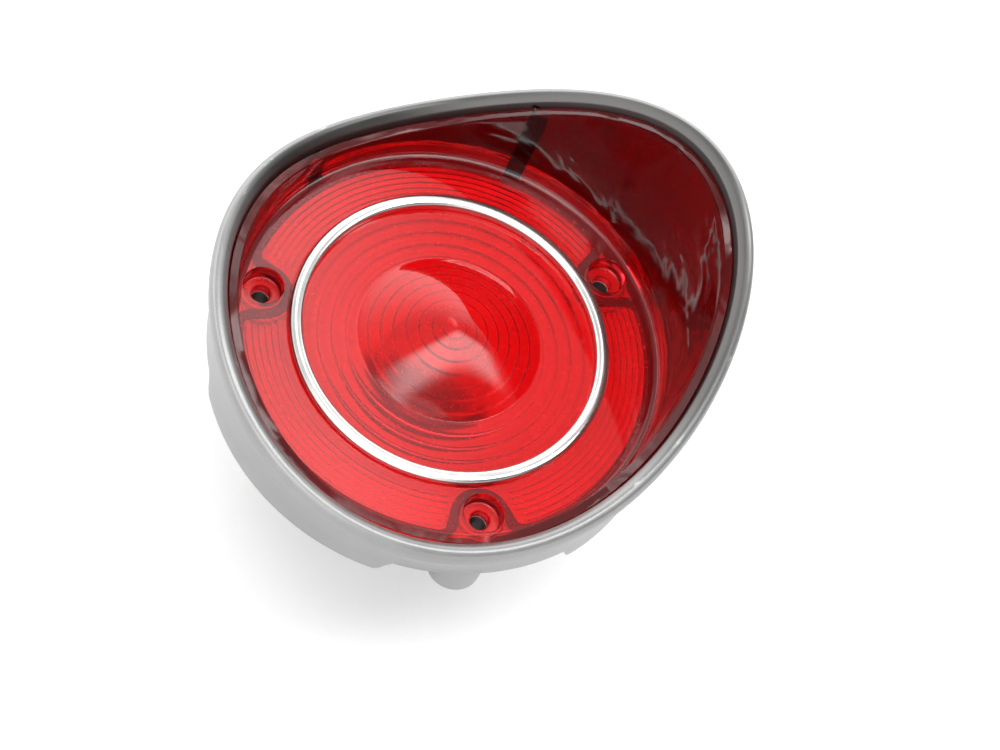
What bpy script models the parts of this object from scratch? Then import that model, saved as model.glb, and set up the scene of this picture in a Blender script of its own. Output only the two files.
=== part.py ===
"""Round bumper tail lamp lying on its back: lens axis along +Z, lens up, metres.

The die-cast housing carries a cup-shaped lens whose rim line rises and falls round the lamp.
A twist-lock bulb socket enters from the back. Three studs stick out behind and are its feet.
"""
import math

import bmesh
import bpy
from mathutils import Matrix, Vector

MM = 0.001
GAP = 0.3 * MM                 # clearance between neighbouring pieces
TWIST_GAP = 0.3 * MM           # running clearance of the socket in the collar

# ---- lamp sizes -------------------------------------------------------------------------
RING_W = 3.3 * MM              # width of the trim ring
RIM_MEAN = 19.1 * MM           # mean height of the rim line above the lens face
RIM_TILT = 17.3 * MM           # once-round rise of the rim line
RIM_SADDLE = 11.7 * MM         # twice-round rise of the rim line
RIM_RIPPLE = 2.7 * MM          # three-times-round rise of the rim line
TILT_AT = 22.0                 # azimuths of the crests, degrees
SADDLE_AT = 5.2
RIPPLE_AT = 24.6
WALL_R = 57.4 * MM             # outer radius of the lens wall at the lens face
DRAFT = 0.05                   # outward lean of the wall per unit of height
EDGE_DROP = 2.5 * MM           # edge of the lens below the rim line
EDGE_LEAST = 1.0 * MM          # but at least this far above the lens face
LENS_T = 2.5 * MM              # thickness of the lens wall
FACE_T = 3.0 * MM              # thickness of the lens face
LIP_W = 4.8 * MM               # width of the housing lip
LIP_H = 5.5 * MM               # depth of the housing lip
CAST_T = 2.9 * MM              # thickness of the cast walls
SCREW_INSET = 9.1 * MM         # screw holes inside the lens wall
RING_INSET = 8.8 * MM          # trim ring inside the screw holes
DOME_R = 23.3 * MM             # central dome of the lens
DOME_RISE = 8.0 * MM
DOME_POWER = 1.4
SCREW_AT = (-90.0, 20.0, 160.0)
SCREW_HOLE_R = 2.5 * MM
POCKET_R = 4.9 * MM            # pocket for the screw head
POCKET_WALL = 1.0 * MM
SEAT_W = 7.1 * MM              # width of the cast seat under the edge of the lens
SEAL_W = 3.2 * MM              # width of the lens gasket
SEAL_LOOP_W = 1.8 * MM         # width of its loops round the screw pockets
POCKET_FLOOR = -5.6 * MM       # pocket floor below the lens face
BOSS_R = 6.6 * MM              # cast screw boss
BOSS_END = -33.0 * MM
SKIRT_END = -17.6 * MM         # back edge of the skirt
RELIEF_END = -11.8 * MM        # back edge of the skirt beside the screw bosses
RELIEF_HALF = 24.0             # half width of that relief, degrees
KEY_AT = (62.0, 121.0)         # locating keys on the lens wall
KEY_W = 4.6 * MM
KEY_T = 1.1 * MM
TAB_AT = (-93.0, 46.0, 176.0)  # tabs of the trim ring
TAB_W = 5.0 * MM
TAB_T = 0.8 * MM
TAB_INSET = 0.2 * MM           # bent toe set in from the leg's faces
GASKET_T = 1.2 * MM
AROUND = 72                    # facets round the large shells

# ---- bulb, socket and stud sizes ----------------------------------------------------------
BULB_TOP = -4.0 * MM
BULB_LENGTH = 50.0 * MM        # glass tip to the base insulator
GLASS_R = 13.2 * MM
GLASS_T = 0.8 * MM
BASE_R = 7.6 * MM
BASE_T = 0.6 * MM
BASE_LENGTH = 18.0 * MM
PIN_R = 1.0 * MM
PIN_OUT = 1.0 * MM             # pin beyond the base
PIN_UP = 6.8 * MM              # mean height of the pins over the insulator face
PIN_STEP = 3.2 * MM            # height between the two pins
PUSH = 2.5 * MM                # travel of the bulb against its spring
SLEEVE_T = 0.75 * MM
BODY_R = 13.6 * MM             # socket body inside the collar
FLANGE_R = 19.5 * MM
BACK_R = 11.2 * MM             # socket body behind the flange
COLLAR_R = 21.5 * MM
COLLAR_DROP = 10.0 * MM        # collar end below the top of the bulb base
COLLAR_DEPTH = 8.6 * MM        # collar end to the bottom of the bowl
COLLAR_LIP = 3.0 * MM
LUG_R = 16.8 * MM
LUG_T = 1.5 * MM
LUG_W = 6.0 * MM
LUG_AT = (90.0, 210.0, 330.0)
LUG_TURN = 40.0                # turn from locked to the entry notches
SEAL_T = 1.5 * MM
FLANGE_T = 2.2 * MM
CARRIER_T = 2.5 * MM
BUTTON_R = 1.6 * MM
CONTACT_X = 3.4 * MM           # contacts either side of the axis
SPRING_R = 5.6 * MM
SPRING_WIRE_R = 0.35 * MM
SPRING_TURNS = 4
SPRING_LENGTH = 6.0 * MM
CAP_T = 2.0 * MM
BLADE_W = 3.2 * MM
BLADE_T = 0.8 * MM
GROUND_AT = 45.0               # azimuth of the sleeve's ground tail
STUD_R = 2.5 * MM
STUD_INSET = 10.0 * MM         # studs inside the rim of the bowl
STUD_GRIP = 11.0 * MM          # length of stud held in its post
STUD_BEYOND = 0.8 * MM         # stud ends beyond the terminals
STUD_AT = {"stud_upper": 60.0, "stud_left": 180.0, "stud_lower": 300.0}
STUD_POST_R = 5.4 * MM
STUD_COLLAR_R = 4.6 * MM
STUD_COLLAR_T = 2.0 * MM

# ---- positions that follow from the sizes above -------------------------------------------
SCREW_R = WALL_R - SCREW_INSET
RING_R = SCREW_R - RING_INSET                        # mean radius of the trim ring
BOWL_R = RING_R + 1.5 * MM
FACE_Z = -1.2 * MM                                   # lens face beside the trim ring
DOME_EDGE = FACE_Z - 0.8 * MM
FACE_UNDER = FACE_Z - FACE_T
LEDGE_Z = FACE_UNDER - 0.4 * MM - GASKET_T - 2 * GAP   # cast seat under the gasket
SHELF_Z = POCKET_FLOOR - FACE_T - GAP                # cast shelf under the lens pockets
LEDGE_R = WALL_R - SEAT_W
POCKET_OUT = POCKET_R + POCKET_WALL                  # outside of the moulded pocket
LOOP_IN = POCKET_OUT + GAP
LOOP_OUT = LOOP_IN + SEAL_LOOP_W
PIN_MEAN_Z = BULB_TOP - BULB_LENGTH + PIN_UP
BASE_END = BULB_TOP - BULB_LENGTH
BASE_TOP = BASE_END + BASE_LENGTH
CONTACT_END = BASE_END - 1.0 * MM
BUTTON_TOP = CONTACT_END - GAP
CARRIER_TOP = BUTTON_TOP - 0.5 * MM
CARRIER_END = CARRIER_TOP - CARRIER_T
COLLAR_END = BASE_TOP - COLLAR_DROP
BOWL_END = COLLAR_END + COLLAR_DEPTH
SPRING_END = CARRIER_END - SPRING_LENGTH
CAP_TOP = SPRING_END - GAP
CAP_END = CAP_TOP - CAP_T
BLADE_END = CAP_END - 2.6 * MM
RING_Z = STUD_BEYOND - BLADE_END                     # lens face above the stud ends
SLEEVE_R = BASE_R + GAP                              # inner radius of the sleeve
BORE_R = SLEEVE_R + SLEEVE_T + GAP                   # bore of the socket body
FLANGE_TOP = COLLAR_END - SEAL_T - 2 * GAP
LUG_END = COLLAR_END + COLLAR_LIP + TWIST_GAP
HOLE_R = BODY_R + 2 * GAP                            # hole in the collar for the socket
CAVITY_R = LUG_R + 0.7 * MM                          # room for the lugs to turn
STUD_CIRCLE = BOWL_R - STUD_INSET

COLLECTION = bpy.data.collections.new("round_tail_lamp")
CUTTERS = bpy.data.collections.new("cutters")


def start():
    for old in list(bpy.data.objects):
        bpy.data.objects.remove(old, do_unlink=True)
    bpy.context.scene.collection.children.link(COLLECTION)
    bpy.context.scene.collection.children.link(CUTTERS)


def material(name, colour, roughness, metallic=0.0, transmission=0.0):
    made = bpy.data.materials.new(name)
    made.use_nodes = True
    shader = made.node_tree.nodes["Principled BSDF"]
    shader.inputs["Base Color"].default_value = (*colour, 1.0)
    shader.inputs["Roughness"].default_value = roughness
    shader.inputs["Metallic"].default_value = metallic
    shader.inputs["Transmission Weight"].default_value = transmission
    return made


def place(made, shader):
    """Put a finished object in the lamp's collection with its own material."""
    for home in list(made.users_collection):
        home.objects.unlink(made)
    COLLECTION.objects.link(made)
    made.data.materials.clear()
    made.data.materials.append(shader)
    return made


def from_bmesh(name, grid):
    bmesh.ops.recalc_face_normals(grid, faces=grid.faces)
    data = bpy.data.meshes.new(name)
    grid.to_mesh(data)
    grid.free()
    made = bpy.data.objects.new(name, data)
    bpy.context.scene.collection.objects.link(made)
    return made


def around(radius, azimuth, z):
    turn = math.radians(azimuth)
    return Vector((radius * math.cos(turn), radius * math.sin(turn), RING_Z + z))


def lofted(name, section, closed):
    """Sweep section(azimuth) -> [(r, z)] round the axis; open sections end in caps at the axis."""
    grid = bmesh.new()
    rings = []
    for step in range(AROUND):
        azimuth = 360.0 * step / AROUND
        rings.append([grid.verts.new(around(r, azimuth, z)) for r, z in section(azimuth)])
    count = len(rings[0])
    last = count if closed else count - 1
    for step in range(AROUND):
        here = rings[step]
        there = rings[(step + 1) % AROUND]
        for i in range(last):
            j = (i + 1) % count
            grid.faces.new((here[i], here[j], there[j], there[i]))
    if not closed:
        grid.faces.new([ring[0] for ring in rings])
        grid.faces.new([ring[-1] for ring in rings])
    return from_bmesh(name, grid)


def turned(name, profile, steps=32):
    """Turn a closed profile of (r, z) pairs round the lamp axis."""
    data = bpy.data.meshes.new(name)
    points = [(r, 0.0, RING_Z + z) for r, z in profile]
    on_axis = profile[0][0] == 0.0
    pairs = [(i, i + 1) for i in range(len(points) - 1)]
    if not on_axis:
        pairs.append((len(points) - 1, 0))
    data.from_pydata(points, pairs, [])
    made = bpy.data.objects.new(name, data)
    bpy.context.scene.collection.objects.link(made)
    screw = made.modifiers.new("turn", 'SCREW')
    screw.axis = 'Z'
    screw.angle = math.tau
    screw.steps = steps
    screw.render_steps = steps
    screw.use_merge_vertices = True
    screw.merge_threshold = 0.00001
    return made


def cylinder(name, radius, bottom, top, x=0.0, y=0.0, facets=24):
    bpy.ops.mesh.primitive_cylinder_add(vertices=facets, radius=radius, depth=top - bottom,
                                        location=(x, y, RING_Z + (top + bottom) / 2))
    made = bpy.context.object
    made.name = name
    return applied(made)


def block(name, size, centre, azimuth=0.0, lean=0.0):
    """Box of size (radial, tangential, axial) centred at (r, z) on an azimuth."""
    bpy.ops.mesh.primitive_cube_add(size=1.0)
    made = bpy.context.object
    made.name = name
    r, z = centre
    stand = Matrix.Rotation(math.radians(azimuth), 4, 'Z')
    stand = stand @ Matrix.Translation((r, 0.0, RING_Z + z))
    stand = stand @ Matrix.Rotation(lean, 4, 'Y')
    stand = stand @ Matrix.Diagonal((*size, 1.0))
    made.data.transform(stand)
    made.location = (0.0, 0.0, 0.0)
    return made


def applied(made):
    made.data.transform(made.matrix_basis)
    made.matrix_basis = Matrix.Identity(4)
    return made


def combine(target, other, operation):
    """Boolean modifier; the cutter is kept hidden in its own collection."""
    for home in list(other.users_collection):
        home.objects.unlink(other)
    CUTTERS.objects.link(other)
    other.hide_render = True
    other.display_type = 'WIRE'
    step = target.modifiers.new(other.name, 'BOOLEAN')
    step.operation = operation
    step.solver = 'EXACT'
    step.object = other


def add(target, other):
    combine(target, other, 'UNION')


def cut(target, other):
    combine(target, other, 'DIFFERENCE')


def wire(name, points, radius):
    """Round wire through the points, converted to a closed mesh."""
    path = bpy.data.curves.new(name, 'CURVE')
    path.dimensions = '3D'
    path.bevel_depth = radius
    path.bevel_resolution = 2
    path.use_fill_caps = True
    line = path.splines.new('POLY')
    line.points.add(len(points) - 1)
    for point, place_at in zip(line.points, points):
        point.co = (*place_at, 1.0)
    rough = bpy.data.objects.new(name + "_path", path)
    bpy.context.scene.collection.objects.link(rough)
    depsgraph = bpy.context.evaluated_depsgraph_get()
    data = bpy.data.meshes.new_from_object(rough.evaluated_get(depsgraph))
    bpy.data.objects.remove(rough, do_unlink=True)
    grid = bmesh.new()
    grid.from_mesh(data)
    bmesh.ops.remove_doubles(grid, verts=grid.verts, dist=0.00001)
    bpy.data.meshes.remove(data)
    return from_bmesh(name, grid)


def wave(azimuth, crest, times):
    return math.cos(times * math.radians(azimuth - crest))


def rim_height(azimuth):
    """Height of the rim line over the lens face."""
    height = RIM_MEAN
    height += RIM_TILT * wave(azimuth, TILT_AT, 1)
    height += RIM_SADDLE * wave(azimuth, SADDLE_AT, 2)
    height += RIM_RIPPLE * wave(azimuth, RIPPLE_AT, 3)
    return height


def edge_height(azimuth):
    """Height of the lens edge, which stays inside the rim."""
    return max(rim_height(azimuth) - EDGE_DROP, EDGE_LEAST)


def wall_r(z):
    return WALL_R + DRAFT * z


def skirt_end(azimuth):
    """The skirt stops short on either side of each screw boss."""
    for boss in SCREW_AT:
        away = abs((azimuth - boss + 180.0) % 360.0 - 180.0)
        if away < RELIEF_HALF:
            return RELIEF_END
    return SKIRT_END


# ---- housing: die-cast shell, bowl, collar and bosses -------------------------------------
def bowl_slope(r):
    return 2 * (SHELF_Z - BOWL_END) * (r - CAVITY_R) / (BOWL_R - CAVITY_R) ** 2


def bowl_z(r):
    """Height of the reflecting inside of the bowl, a parabola."""
    share = (r - CAVITY_R) / (BOWL_R - CAVITY_R)
    return BOWL_END + (SHELF_Z - BOWL_END) * share ** 2


def bowl_back(r):
    """Point on the outside of the bowl behind the inside at radius r."""
    steep = bowl_slope(r)
    across = math.hypot(1.0, steep)
    return (r + CAST_T * steep / across, bowl_z(r) - CAST_T / across)


def bowl_radii(count):
    return [BOWL_R + (CAVITY_R - BOWL_R) * step / count for step in range(count + 1)]


def housing_section(azimuth):
    top = rim_height(azimuth)
    inner = wall_r(top) + GAP
    neck = top - LIP_H - 1.5 * MM
    end = skirt_end(azimuth)
    outside = CAST_T + GAP
    back = SHELF_Z - CAST_T
    land_r = LEDGE_R + 2.0 * MM
    section = [
        (0.5 * MM, SHELF_Z),
        (LEDGE_R, SHELF_Z),
        (LEDGE_R, LEDGE_Z),
        (wall_r(LEDGE_Z) + GAP, LEDGE_Z),
        (inner, top - 0.3 * MM),
        (inner + 0.25 * LIP_W, top + 0.9 * MM),
        (inner + 0.55 * LIP_W, top + 1.3 * MM),
        (inner + 0.85 * LIP_W, top + 0.6 * MM),
        (inner + LIP_W, top - 1.0 * MM),
        (inner + LIP_W, top - 0.72 * LIP_H),
        (inner + 0.85 * LIP_W, top - LIP_H),
        (wall_r(neck) + outside, neck),
        (wall_r(end) + outside, end),
        (land_r, end),
        (land_r - 0.5 * MM, back),
    ]
    section += [point for point in map(bowl_back, bowl_radii(6)) if point[1] < back - 0.5 * MM]
    section += [
        (COLLAR_R, section[-1][1] - 1.0 * MM),
        (COLLAR_R, COLLAR_END),
        (0.5 * MM, COLLAR_END),
    ]
    return section


def bowl_space():
    """Everything hollow on the axis: bowl, lug cavity and the hole for the socket."""
    lip_top = COLLAR_END + COLLAR_LIP
    above = LEDGE_Z + MM
    profile = [(0.0, above), (BOWL_R, above)]
    profile += [(r, bowl_z(r)) for r in bowl_radii(8)]
    profile += [(CAVITY_R, lip_top), (HOLE_R, lip_top), (HOLE_R, COLLAR_END - MM),
                (0.0, COLLAR_END - MM)]
    return turned("bowl_space", profile, AROUND)


def key_block(name, azimuth, extra, top):
    """Upright key on the outside of the lens wall, or its groove when extra is the clearance."""
    bottom = FACE_UNDER + 0.4 * MM - extra
    middle = (top + bottom) / 2
    depth = KEY_T + extra
    size = (2 * depth, KEY_W + 2 * extra, top - bottom)
    return block(name, size, (wall_r(middle), middle), azimuth, math.atan(DRAFT))


def key_top(azimuth):
    return edge_height(azimuth) - 1.0 * MM


def stud_top():
    return bowl_z(STUD_CIRCLE - STUD_R - GAP) - CAST_T / 2


def stud_post_end():
    return stud_top() - STUD_GRIP


def build_housing():
    housing = lofted("housing", housing_section, closed=False)
    for number, azimuth in enumerate(SCREW_AT):
        spot = around(SCREW_R, azimuth, 0.0)
        add(housing, cylinder(f"screw_boss_{number}", BOSS_R, BOSS_END, SHELF_Z - 1.0 * MM,
                              spot.x, spot.y))
        add(housing, cylinder(f"seal_seat_{number}", LOOP_OUT, SHELF_Z - 0.5 * MM, LEDGE_Z,
                              spot.x, spot.y, 32))
    for name, azimuth in STUD_AT.items():
        spot = around(STUD_CIRCLE, azimuth, 0.0)
        post_top = bowl_z(STUD_CIRCLE + STUD_POST_R) - CAST_T / 2
        add(housing, cylinder(name + "_post", STUD_POST_R, stud_post_end(), post_top,
                              spot.x, spot.y))
    cut(housing, bowl_space())
    for name, azimuth in STUD_AT.items():
        spot = around(STUD_CIRCLE, azimuth, 0.0)
        cut(housing, cylinder(name + "_hole", STUD_R + GAP, stud_post_end() - MM,
                              stud_top() + GAP, spot.x, spot.y))
    for number, azimuth in enumerate(SCREW_AT):
        spot = around(SCREW_R, azimuth, 0.0)
        cut(housing, cylinder(f"pocket_room_{number}", LOOP_IN, SHELF_Z, LEDGE_Z + MM,
                              spot.x, spot.y, 32))
        cut(housing, cylinder(f"screw_hole_{number}", SCREW_HOLE_R, BOSS_END - MM, SHELF_Z + MM,
                              spot.x, spot.y))
    for number, azimuth in enumerate(KEY_AT):
        cut(housing, key_block(f"key_groove_{number}", azimuth, GAP, key_top(azimuth) + GAP))
    inner = BODY_R - 3.0 * MM
    outer = LUG_R + 2 * GAP
    for number, azimuth in enumerate(LUG_AT):
        notch = block(f"lug_notch_{number}", (outer - inner, LUG_W + 4 * GAP, COLLAR_LIP + MM),
                      ((outer + inner) / 2, COLLAR_END + COLLAR_LIP / 2), azimuth + LUG_TURN)
        cut(housing, notch)
    place(housing, material("silver_paint", (0.62, 0.62, 0.60), 0.38, 0.55))


# ---- lens: moulded acrylic cup --------------------------------------------------------------
def lens_section(azimuth):
    top = edge_height(azimuth)
    inner = wall_r(0.0) - LENS_T
    ring_in = RING_R - RING_W / 2 - GAP
    ring_out = RING_R + RING_W / 2 + GAP
    foot = FACE_Z - 0.6 * MM
    shares = (0.02, 0.25, 0.5, 0.75, 1.0)
    dome = [(DOME_R * share, dome_z(share)) for share in shares]
    under = [(r, z - FACE_T) for r, z in reversed(dome)]
    return dome + [
        (ring_in, DOME_EDGE + 0.2 * MM),
        (ring_in, foot),
        (ring_out, foot),
        (ring_out, FACE_Z),
        (inner - 1.4 * MM, FACE_Z),
        (inner - 0.4 * MM, FACE_Z + 0.6 * MM),
        (inner, FACE_Z + 2.0 * MM),
        (wall_r(top) - LENS_T, top),
        (wall_r(top), top),
        (wall_r(FACE_UNDER), FACE_UNDER),
        (BOWL_R, FACE_UNDER - 0.4 * MM),
    ] + under


def dome_z(share):
    return DOME_EDGE + DOME_RISE * (1.0 - share ** DOME_POWER)


def build_lens():
    lens = lofted("lens", lens_section, closed=False)
    for number, azimuth in enumerate(SCREW_AT):
        spot = around(SCREW_R, azimuth, 0.0)
        floor = POCKET_FLOOR - FACE_T
        add(lens, cylinder(f"pocket_boss_{number}", POCKET_OUT, floor, FACE_Z - MM,
                           spot.x, spot.y))
        cut(lens, cylinder(f"pocket_{number}", POCKET_R, POCKET_FLOOR, FACE_Z + MM,
                           spot.x, spot.y))
        cut(lens, cylinder(f"lens_hole_{number}", SCREW_HOLE_R, floor - MM, POCKET_FLOOR + MM,
                           spot.x, spot.y))
    for number, azimuth in enumerate(KEY_AT):
        add(lens, key_block(f"key_{number}", azimuth, 0.0, key_top(azimuth)))
    for number, azimuth in enumerate(TAB_AT):
        cut(lens, block(f"tab_slot_{number}", (TAB_T + 2 * GAP, TAB_W + 2 * GAP, 8.0 * MM),
                        (RING_R, FACE_Z - 2.0 * MM), azimuth))
    place(lens, material("red_acrylic", (0.72, 0.01, 0.015), 0.08, 0.0, 0.8))


def build_trim_ring():
    half = RING_W / 2
    foot = FACE_Z - 0.6 * MM + GAP
    ring = turned("trim_ring", [
        (RING_R + half, foot),
        (RING_R - half, foot),
        (RING_R - half, 0.0),
        (RING_R - 0.6 * half, 0.7 * MM),
        (RING_R, 1.0 * MM),
        (RING_R + 0.6 * half, 0.7 * MM),
        (RING_R + half, 0.0),
    ], AROUND)
    under = FACE_UNDER - 0.4 * MM - GAP
    for number, azimuth in enumerate(TAB_AT):
        leg_top = foot + 0.5 * MM
        leg_end = under - TAB_T
        leg = block(f"tab_leg_{number}", (TAB_T, TAB_W, leg_top - leg_end),
                    (RING_R, (leg_top + leg_end) / 2), azimuth)
        toe_length = 2.1 * MM
        toe = block(f"tab_toe_{number}", (toe_length, TAB_W - 2 * TAB_INSET, TAB_T),
                    (RING_R + TAB_T / 2 - TAB_INSET - toe_length / 2,
                     leg_end - TAB_INSET + TAB_T / 2), azimuth)
        add(ring, leg)
        add(ring, toe)
    place(ring, material("polished_trim", (0.85, 0.85, 0.84), 0.12, 1.0))


def build_gasket():
    """Flat ring that loops inwards round each screw pocket, so that the holes stay dry."""
    top = FACE_UNDER - 0.4 * MM - GAP
    bottom = top - GASKET_T
    inner = LEDGE_R + GAP
    outer = inner + SEAL_W
    gasket = turned("lens_gasket", [(outer, top), (outer, bottom), (inner, bottom),
                                    (inner, top)], AROUND)
    for number, azimuth in enumerate(SCREW_AT):
        spot = around(SCREW_R, azimuth, 0.0)
        add(gasket, cylinder(f"loop_{number}", LOOP_OUT, bottom, top, spot.x, spot.y, 48))
        cut(gasket, cylinder(f"loop_hole_{number}", LOOP_IN, bottom - MM, top + MM,
                             spot.x, spot.y, 48))
        reach = WALL_R - SCREW_R
        cut(gasket, block(f"loop_mouth_{number}", (reach, 2 * LOOP_IN, GASKET_T + 2 * MM),
                          (SCREW_R + reach / 2, (top + bottom) / 2), azimuth))
    place(gasket, material("black_rubber", (0.02, 0.02, 0.02), 0.85))


def build_studs():
    steel = {name: material(name + "_steel", (0.55, 0.53, 0.47), 0.35, 1.0) for name in STUD_AT}
    for name, azimuth in STUD_AT.items():
        collar_top = stud_post_end() - GAP
        stud = turned(name, [
            (0.0, stud_top()),
            (STUD_R, stud_top()),
            (STUD_R, collar_top),
            (STUD_COLLAR_R, collar_top),
            (STUD_COLLAR_R, collar_top - STUD_COLLAR_T),
            (STUD_R, collar_top - STUD_COLLAR_T),
            (STUD_R, -RING_Z + 0.6 * MM),
            (STUD_R - 0.6 * MM, -RING_Z),
            (0.0, -RING_Z),
        ], 24)
        spot = around(STUD_CIRCLE, azimuth, 0.0)
        stud.location = (spot.x, spot.y, 0.0)
        place(stud, steel[name])


# ---- socket: turns with the twist joint -----------------------------------------------------
def build_socket():
    front = COLLAR_END + COLLAR_LIP + LUG_T + 2.4 * MM
    flange_end = FLANGE_TOP - FLANGE_T
    body = turned("socket_body", [
        (BODY_R, front),
        (BODY_R, FLANGE_TOP),
        (FLANGE_R, FLANGE_TOP),
        (FLANGE_R, flange_end),
        (BACK_R, flange_end),
        (BACK_R, CAP_END),
        (BORE_R, CAP_END),
        (BORE_R, front),
    ], 48)
    for number, azimuth in enumerate(LUG_AT):
        inner = BODY_R - 1.0 * MM
        lug = block(f"lug_{number}", (LUG_R - inner, LUG_W, LUG_T),
                    ((LUG_R + inner) / 2, LUG_END + LUG_T / 2), azimuth)
        add(body, lug)
    place(body, material("black_phenolic", (0.025, 0.022, 0.02), 0.5))

    seal = turned("socket_seal", [
        (FLANGE_R - 0.5 * MM, COLLAR_END - GAP),
        (FLANGE_R - 0.5 * MM, COLLAR_END - GAP - SEAL_T),
        (BODY_R + GAP, COLLAR_END - GAP - SEAL_T),
        (BODY_R + GAP, COLLAR_END - GAP),
    ], 48)
    place(seal, material("seal_rubber", (0.03, 0.03, 0.03), 0.9))


def build_sleeve():
    """Metal sleeve that locks the bulb: two J slots, one lower than the other, and a ground tail."""
    outer = SLEEVE_R + SLEEVE_T
    front = BASE_TOP - 3.0 * MM
    end = CARRIER_END - 1.2 * MM
    sleeve = turned("socket_sleeve", [(outer, front), (outer, end), (SLEEVE_R, end),
                                      (SLEEVE_R, front)], 48)
    tail_top = end + 1.0 * MM
    add(sleeve, block("ground_tail", (SLEEVE_T, BLADE_W, tail_top - BLADE_END),
                      (SLEEVE_R + SLEEVE_T / 2 - 0.05 * MM, (tail_top + BLADE_END) / 2),
                      GROUND_AT))
    width = 2 * PIN_R + 2 * GAP
    for side, azimuth in ((0.5, 90.0), (-0.5, 270.0)):
        pin_z = PIN_MEAN_Z + side * PIN_STEP
        low = pin_z - PUSH - width / 2
        seat_top = pin_z + width / 2
        name = "upper" if side > 0 else "lower"
        cut(sleeve, block(name + "_seat", (4.0 * MM, width, seat_top - low),
                          (SLEEVE_R, (seat_top + low) / 2), azimuth))
        for turn in (7.0, 14.0, 21.0):
            cut(sleeve, block(f"{name}_leg_{turn:.0f}", (4.0 * MM, width, width),
                              (SLEEVE_R, low + width / 2), azimuth + turn))
        cut(sleeve, block(name + "_entry", (4.0 * MM, width, front + MM - low),
                          (SLEEVE_R, (front + MM + low) / 2), azimuth + 28.0))
    place(sleeve, material("tinned_brass", (0.75, 0.68, 0.5), 0.3, 1.0))


def build_socket_back():
    cap = turned("socket_end_cap", [(0.0, CAP_TOP), (BORE_R - GAP, CAP_TOP),
                                    (BORE_R - GAP, CAP_END), (0.0, CAP_END)], 40)
    for name, x in (("stop", CONTACT_X), ("tail", -CONTACT_X)):
        slot = block(name + "_slot", (BLADE_T + 2 * GAP, BLADE_W + 2 * GAP, CAP_T + 2 * MM),
                     (x, (CAP_TOP + CAP_END) / 2))
        cut(cap, slot)
        blade_top = CAP_TOP + 1.0 * MM
        blade = block("terminal_" + name, (BLADE_T, BLADE_W, blade_top - BLADE_END),
                      (x, (blade_top + BLADE_END) / 2))
        place(blade, material(name + "_terminal_brass", (0.8, 0.62, 0.3), 0.3, 1.0))
    notch = block("ground_notch", (SLEEVE_T + 4 * GAP, BLADE_W + 2 * GAP, CAP_T + 2 * MM),
                  (SLEEVE_R + SLEEVE_T / 2, (CAP_TOP + CAP_END) / 2), GROUND_AT)
    cut(cap, notch)
    place(cap, material("brown_phenolic", (0.10, 0.04, 0.015), 0.5))

    steps = 16 * SPRING_TURNS
    top = CARRIER_END - GAP - SPRING_WIRE_R
    bottom = SPRING_END + SPRING_WIRE_R
    points = []
    for step in range(steps + 1):
        share = step / steps
        points.append(around(SPRING_R, 360.0 * SPRING_TURNS * share, top + (bottom - top) * share))
    spring = wire("contact_spring", points, SPRING_WIRE_R)
    place(spring, material("spring_steel", (0.5, 0.5, 0.5), 0.3, 1.0))


# ---- bulb and contact carrier: slide together against the spring --------------------------
def build_carrier():
    carrier = cylinder("contact_carrier", SLEEVE_R - GAP, CARRIER_END, CARRIER_TOP, facets=32)
    for name, x in (("stop", CONTACT_X), ("tail", -CONTACT_X)):
        cut(carrier, cylinder(name + "_button_hole", BUTTON_R + GAP, CARRIER_END - MM,
                              CARRIER_TOP + MM, x))
        button = cylinder("contact_button_" + name, BUTTON_R, CARRIER_END, BUTTON_TOP, x)
        place(button, material(name + "_button_brass", (0.8, 0.6, 0.28), 0.3, 1.0))
    place(carrier, material("carrier_fibre", (0.13, 0.055, 0.02), 0.6))


def build_bulb_base():
    lower = BASE_END + 0.4 * MM
    base = turned("bulb_base", [(BASE_R, BASE_TOP), (BASE_R, lower), (BASE_R - BASE_T, lower),
                                (BASE_R - BASE_T, BASE_TOP)], 32)
    for side, azimuth in ((0.5, 90.0), (-0.5, 270.0)):
        name = "pin_upper" if side > 0 else "pin_lower"
        inner = BASE_R - 0.4 * MM
        outer = BASE_R + PIN_OUT
        pin_z = PIN_MEAN_Z + side * PIN_STEP
        pin = cylinder(name, PIN_R, inner - RING_Z, outer - RING_Z, facets=12)
        pin.data.transform(Matrix.Rotation(math.radians(90.0), 4, 'Y'))
        pin.data.transform(Matrix.Rotation(math.radians(azimuth), 4, 'Z'))
        pin.data.transform(Matrix.Translation((0.0, 0.0, RING_Z + pin_z)))
        add(base, pin)
    place(base, material("bulb_brass", (0.82, 0.66, 0.36), 0.28, 1.0))

    insulator = cylinder("bulb_insulator", BASE_R - BASE_T - GAP, BASE_END, BASE_END + 1.8 * MM,
                         facets=32)
    for name, x in (("stop", CONTACT_X), ("tail", -CONTACT_X)):
        cut(insulator, cylinder(name + "_contact_hole", BUTTON_R + GAP, BASE_END - MM,
                                BASE_END + 3.0 * MM, x))
        blob = cylinder("bulb_contact_" + name, BUTTON_R, CONTACT_END, BASE_END + 2.0 * MM, x)
        place(blob, material(name + "_solder", (0.6, 0.6, 0.62), 0.35, 1.0))
    place(insulator, material("black_glass", (0.01, 0.01, 0.012), 0.1))


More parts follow.
